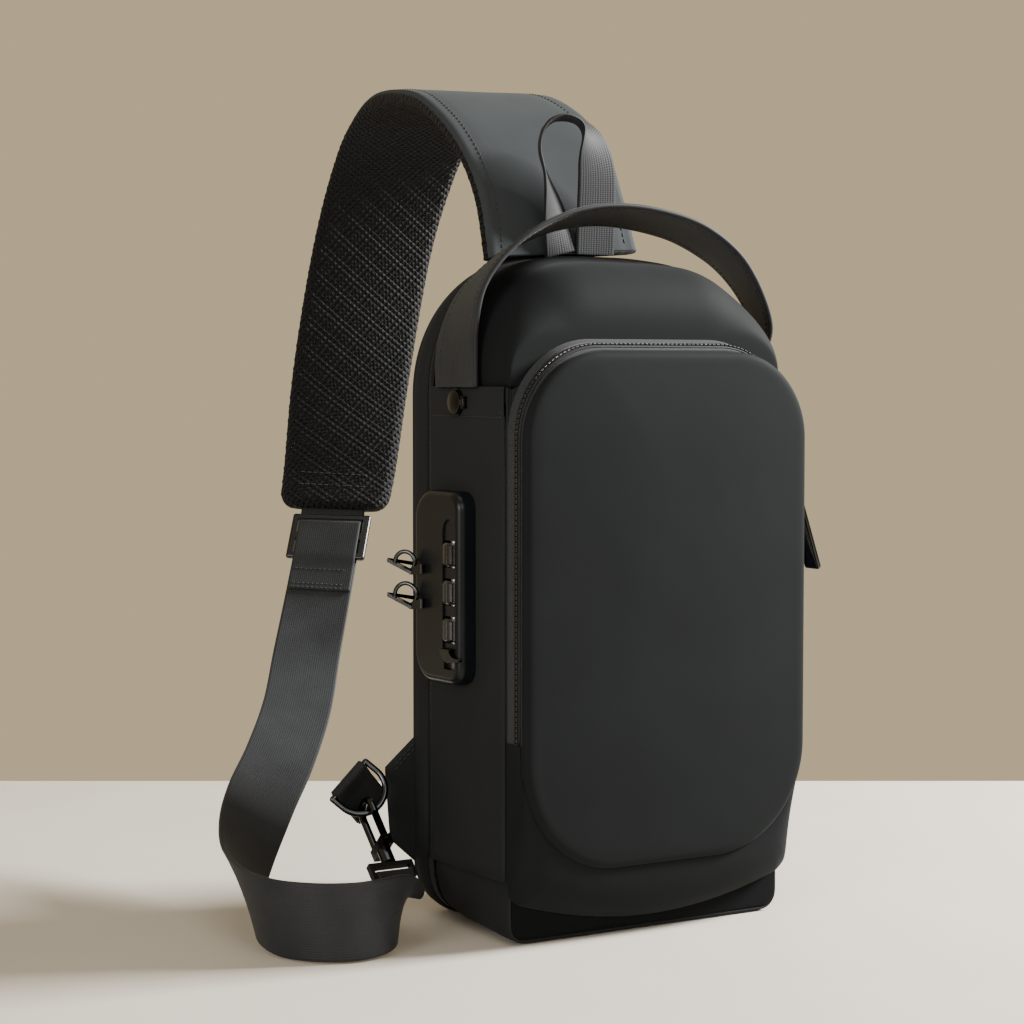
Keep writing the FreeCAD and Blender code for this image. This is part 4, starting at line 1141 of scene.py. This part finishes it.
# a pad's rolled edge: how far in from its outline, and how far out from its foot
PAD_EDGE = ((2.0, 0.0), (0.6, 0.0), (0.0, 0.9), (0.0, 1.8), (0.9, 3.0), (2.6, 3.9), (5.0, 4.3))
PAD_SHARES = (0.92, 0.84, 0.74, 0.62, 0.5, 0.38, 0.26, 0.14, 0.0)


def make_back_pad(name):
    """An air-mesh cushion, blown up a little inside its sewn edge."""
    low, high = span(name)
    foot, face = BACK_Y - 0.3, high[1] - 1.0

    def line(inset):
        radius = PAD_RADIUS - inset
        return rounded_outline(high[0] - inset, low[2] + inset, high[2] - inset, radius, radius, 16)

    rings = [at_depth(line(inset), foot + rise) for inset, rise in PAD_EDGE]
    inner = spine_rings(line(PAD_EDGE[-1][0]), low[2] + 45, high[2] - 45, PAD_SHARES)
    rings += [at_depth(flat, face) for flat in inner]
    rings += [at_depth(flat, foot) for flat in reversed(inner)]
    rings.append(rings[0])
    piece = closed_fill(name, rings, MESH)
    inflate(piece, 2.6, 2.4)
    corrugate(piece, low, high)
    stand_for(piece, "air_mesh", name)
    path = at_depth(line(PAD_STITCH_IN), BACK_Y + PAD_STITCH_OUT)
    stitching(name + "_stitches", "air_mesh",
              [stitch_line(path, facing((0, 1, 0), path), 3.4, 2.4, 0.26)])


def points_of(piece):
    """A piece's points as rows of x, y, z, in metres."""
    flat = np.empty(len(piece.data.vertices) * 3)
    piece.data.vertices.foreach_get("co", flat)
    return flat.reshape(-1, 3)


def inflate(piece, voxel, cap):
    """Remeshes a pad, blows it up with cloth pressure, and limits how far it moves."""
    remesh = piece.modifiers.new("remesh", "REMESH")
    remesh.mode = "VOXEL"
    remesh.voxel_size = voxel * MM
    apply_modifiers(piece)
    before = points_of(piece)
    press_up(piece, before, 20)
    move = (points_of(piece) - before) * (0.2, 1.0, 0.2)
    far = np.linalg.norm(move, axis=1, keepdims=True)
    after = before + move * np.minimum(1.0, cap * MM / np.maximum(far, 1e-9))
    after[:, 1] = np.maximum(after[:, 1], (BACK_Y - 0.6) * MM)
    piece.data.vertices.foreach_set("co", after.reshape(-1))
    subdivide(piece)
    apply_modifiers(piece)
    layer = piece.data.attributes.get("weave") or piece.data.attributes.new(
        "weave", "FLOAT_VECTOR", "POINT")
    layer.data.foreach_set("vector", points_of(piece)[:, [0, 2, 1]].reshape(-1))
    piece.data.shade_smooth()


def press_up(piece, points, steps):
    """Cloth pressure on a pad whose foot is held by its seam."""
    cloth = piece.modifiers.new("cloth", "CLOTH")
    cloth.settings.use_pressure = True
    cloth.settings.uniform_pressure_force = 4.0
    cloth.settings.effector_weights.gravity = 0.0
    cloth.settings.tension_stiffness = 15.0
    seam = piece.vertex_groups.new(name="seam")
    held = np.flatnonzero(points[:, 1] < (BACK_Y + 1.6) * MM)
    seam.add(held.tolist(), 1.0, "REPLACE")
    cloth.settings.vertex_group_mass = "seam"
    cloth.point_cache.frame_start = 1
    cloth.point_cache.frame_end = steps
    for step in range(1, steps + 1):
        bpy.context.scene.frame_set(step)
    apply_modifiers(piece)
    bpy.context.scene.frame_set(1)


def apply_modifiers(piece):
    """Replaces a piece's mesh by what its modifiers make of it."""
    depsgraph = bpy.context.evaluated_depsgraph_get()
    depsgraph.update()
    shaped = bpy.data.meshes.new_from_object(piece.evaluated_get(depsgraph))
    piece.modifiers.clear()
    old = piece.data
    piece.data = shaped
    bpy.data.meshes.remove(old)


def pad_inset(x, z, low, high):
    """How far a point lies inside a pad's rounded outline."""
    half, tall = high[0], (high[2] - low[2]) / 2
    x, z = abs(x), abs(z - (high[2] + low[2]) / 2)
    over_x, over_z = x - (half - PAD_RADIUS), z - (tall - PAD_RADIUS)
    if over_x > 0 and over_z > 0:
        return PAD_RADIUS - math.hypot(over_x, over_z)
    return min(half - x, tall - z)


def corrugate(piece, low, high):
    """Presses the seam and two sewn channels into a pad, after its remesh."""
    middle = (low[2] + high[2]) / 2
    for vertex in piece.data.vertices:
        x, y, z = (c / MM for c in vertex.co)
        if y < BACK_Y + 1.5:
            continue
        edge = pad_inset(x, z, low, high)
        y = min(y, BACK_Y + 4.0 + 0.8 * abs(edge - PAD_STITCH_IN))
        fade = max(0.0, min(1.0, (edge - 9.0) / 8.0))
        dip = sum(1.9 * math.exp(-((z - channel + 0.06 * abs(x)) / 2.6) ** 2)
                  for channel in (middle - 22, middle + 22))
        vertex.co.y = (y - dip * fade) * MM


# ---- zip pullers ------------------------------------------------------------------------
def plate_mesh(outline, thick, bevel, rim, recess):
    """A plate with rounded edges and a sunk panel inside a raised rim on both faces."""
    tangent = unit(np.roll(outline, -1, 0) - np.roll(outline, 1, 0))
    out = np.stack([tangent[:, 1], -tangent[:, 0]], axis=1)
    half, count = thick / 2, len(outline)
    loops = [(outline - out * inset, level)
             for inset, level in ((rim + 0.5, half - recess), (rim, half), (bevel, half),
                                  (bevel * 0.3, half - bevel * 0.3), (0, half - bevel))]
    loops += [(line, -level) for line, level in loops[::-1]]
    centre = outline.mean(axis=0)
    points = np.vstack([np.column_stack([line, np.full(count, level)]) for line, level in loops]
                       + [[*centre, half - recess], [*centre, recess - half]])
    faces = grid_faces(len(loops), count, True)
    first, last = len(points) - 2, len(points) - 1
    end = (len(loops) - 1) * count
    for c in range(count):
        d = (c + 1) % count
        faces += [(d, c, first), (end + c, end + d, last)]
    return points, faces


def tapered_outline(wide, narrow, top, bottom, radius):
    """A tapered plate's outline with round corners, in across and down."""
    corners = np.array([(wide / 2, bottom), (-wide / 2, bottom), (-narrow / 2, top),
                        (narrow / 2, top)])
    points = []
    for i, corner in enumerate(corners):
        a = corner + unit(corners[i - 1] - corner) * radius
        b = corner + unit(corners[(i + 1) % 4] - corner) * radius
        points += [(1 - t) ** 2 * a + 2 * t * (1 - t) * corner + t * t * b
                   for t in np.linspace(0, 1, 7)]
    return np.array(points)


def make_pocket_puller(name, tilt, wide, narrow):
    """A puller with a crossbar, two arms and a tapered plate with a sunk panel."""
    low, high = span("pocket_slider_" + name)
    hinge = np.array([82.5 + 4.15, FRONT_Y - 8.0, (low[2] + high[2]) / 2])
    plate, faces = plate_mesh(tapered_outline(wide, narrow, 5.4, 42.0, 1.9), 2.0, 0.5, 1.5, 0.45)
    plate = np.stack([plate[:, 2], plate[:, 0], -plate[:, 1]], axis=1)
    bar = [(0, s, 0) for s in np.linspace(-2.9, 2.9, 5)]
    parts = [(plate, faces), tube(bar, 1.0, facing((1, 0, 0), bar), 12)]
    for s in (-3.05, 3.05):
        arm = [(0, s, 0.2), (0, s, -1.5), (0, s, -3.5), (0, s * 0.98, -6.6)]
        parts.append(tube(arm, 1.05, facing((1, 0, 0), arm), 12))
    verts, faces = joined(parts)
    cos, sin = math.cos(math.radians(tilt)), math.sin(math.radians(tilt))
    x, y, z = verts.T
    placed = np.stack([x * cos - z * sin, y, x * sin + z * cos], axis=1) + hinge
    node = "pocket_puller_" + name
    piece = mesh_piece(node, placed, faces, GUNMETAL)
    piece.modifiers.new("edges", "EDGE_SPLIT").split_angle = math.radians(50)
    stand_for(piece, "gunmetal", node, body=node)


# ---- kept CAD nodes ---------------------------------------------------------------------
def paint_hardware():
    finishes = {
        GUNMETAL: ("release_lever", "d_ring_left", "d_ring_right", "snap_hook_body",
                   "snap_hook_gate", "main_slider_upper", "main_slider_lower",
                   "main_puller_upper", "main_puller_lower", "pocket_slider_upper",
                   "pocket_slider_lower"),
        LOCK_BLACK: ("lock_case", "lock_base_plate"),
        DIAL_BLACK: ("dial_1", "dial_2", "dial_3"),
        STEEL: ("dial_spindle", "latch_plate"),
        BUCKLE: ("adjuster", "snap_hook_eye"),
        RUBBER: ("usb_port_housing", "usb_port_cap"),
    }
    for material, names in finishes.items():
        for name in names:
            for place in nodes[name].material_slots:
                place.material = material


# ---- stage ------------------------------------------------------------------------------
CAMERA_TURN = 0.552437                    # the camera looks this far round to the right of +y
FLOOR_SHADES = ((0.3, (0.385, 0.35, 0.30)), (0.7, (0.405, 0.37, 0.32)))
FLOOR_NEAR, FLOOR_FAR, FLOOR_WIDE = -1.9, 0.404, 2.2


def make_stage():
    floor = Nodes("pale_floor")
    grain = floor.noise(floor.place(), 9.0, 5.0)
    floor.set(Base_Color=floor.ramp(grain, *FLOOR_SHADES), Roughness=0.55)
    mesh = bpy.data.meshes.new("floor")
    ahead = np.array([math.sin(CAMERA_TURN), math.cos(CAMERA_TURN), 0.0])
    right = np.array([ahead[1], -ahead[0], 0.0])
    corners = [right * x + ahead * y
               for x, y in ((-FLOOR_WIDE, FLOOR_NEAR), (FLOOR_WIDE, FLOOR_NEAR),
                            (FLOOR_WIDE, FLOOR_FAR), (-FLOOR_WIDE, FLOOR_FAR))]
    mesh.from_pydata([tuple(c) for c in corners], [], [(0, 1, 2, 3)])
    mesh.materials.append(floor.material)
    piece = bpy.data.objects.new("floor", mesh)
    bpy.context.scene.collection.objects.link(piece)
    world = bpy.data.worlds.new("studio")
    world.use_nodes = True
    back = world.node_tree.nodes["Background"]
    back.inputs["Color"].default_value = (0.62, 0.50, 0.31, 1)
    back.inputs["Strength"].default_value = 0.9
    bpy.context.scene.world = world


def area_light(name, place, size, power):
    data = bpy.data.lights.new(name, "AREA")
    data.shape = "RECTANGLE"
    data.size, data.size_y = size
    data.energy = power
    light = bpy.data.objects.new(name, data)
    light.location = place
    aim = Vector((0.0, 0.0, 0.2)) - Vector(place)
    light.rotation_euler = aim.to_track_quat("-Z", "Y").to_euler()
    bpy.context.scene.collection.objects.link(light)


def make_lights():
    area_light("key", (1.36, -0.47, 1.0), (0.45, 0.45), 200)
    area_light("top", (-0.3, -0.4, 1.9), (1.2, 1.0), 8)
    area_light("left", (-2.5, -1.1, 0.75), (1.2, 1.0), 56)
    area_light("front", (-0.8, -2.3, 1.2), (1.6, 1.2), 28)


def make_camera():
    data = bpy.data.cameras.new("camera")
    data.lens = 85.85
    data.sensor_width = 36.0
    camera = bpy.data.objects.new("camera", data)
    camera.location = (-0.6997, -1.0513, 0.2813)
    camera.rotation_euler = (math.pi / 2 - 0.057535, 0, -CAMERA_TURN)
    bpy.context.scene.collection.objects.link(camera)
    bpy.context.scene.camera = camera


make_camera()
make_stage()
make_lights()
make_body()
make_pocket()
make_side_pocket()
make_strap_pad()
make_webbing()
make_handle()
make_hang_loop()
make_tabs()
make_back_pad("back_pad_upper")
make_back_pad("back_pad_lower")
make_pocket_puller("upper", 17.0, 12.0, 8.4)
make_pocket_puller("lower", 1.0, 8.4, 8.0)
paint_hardware()
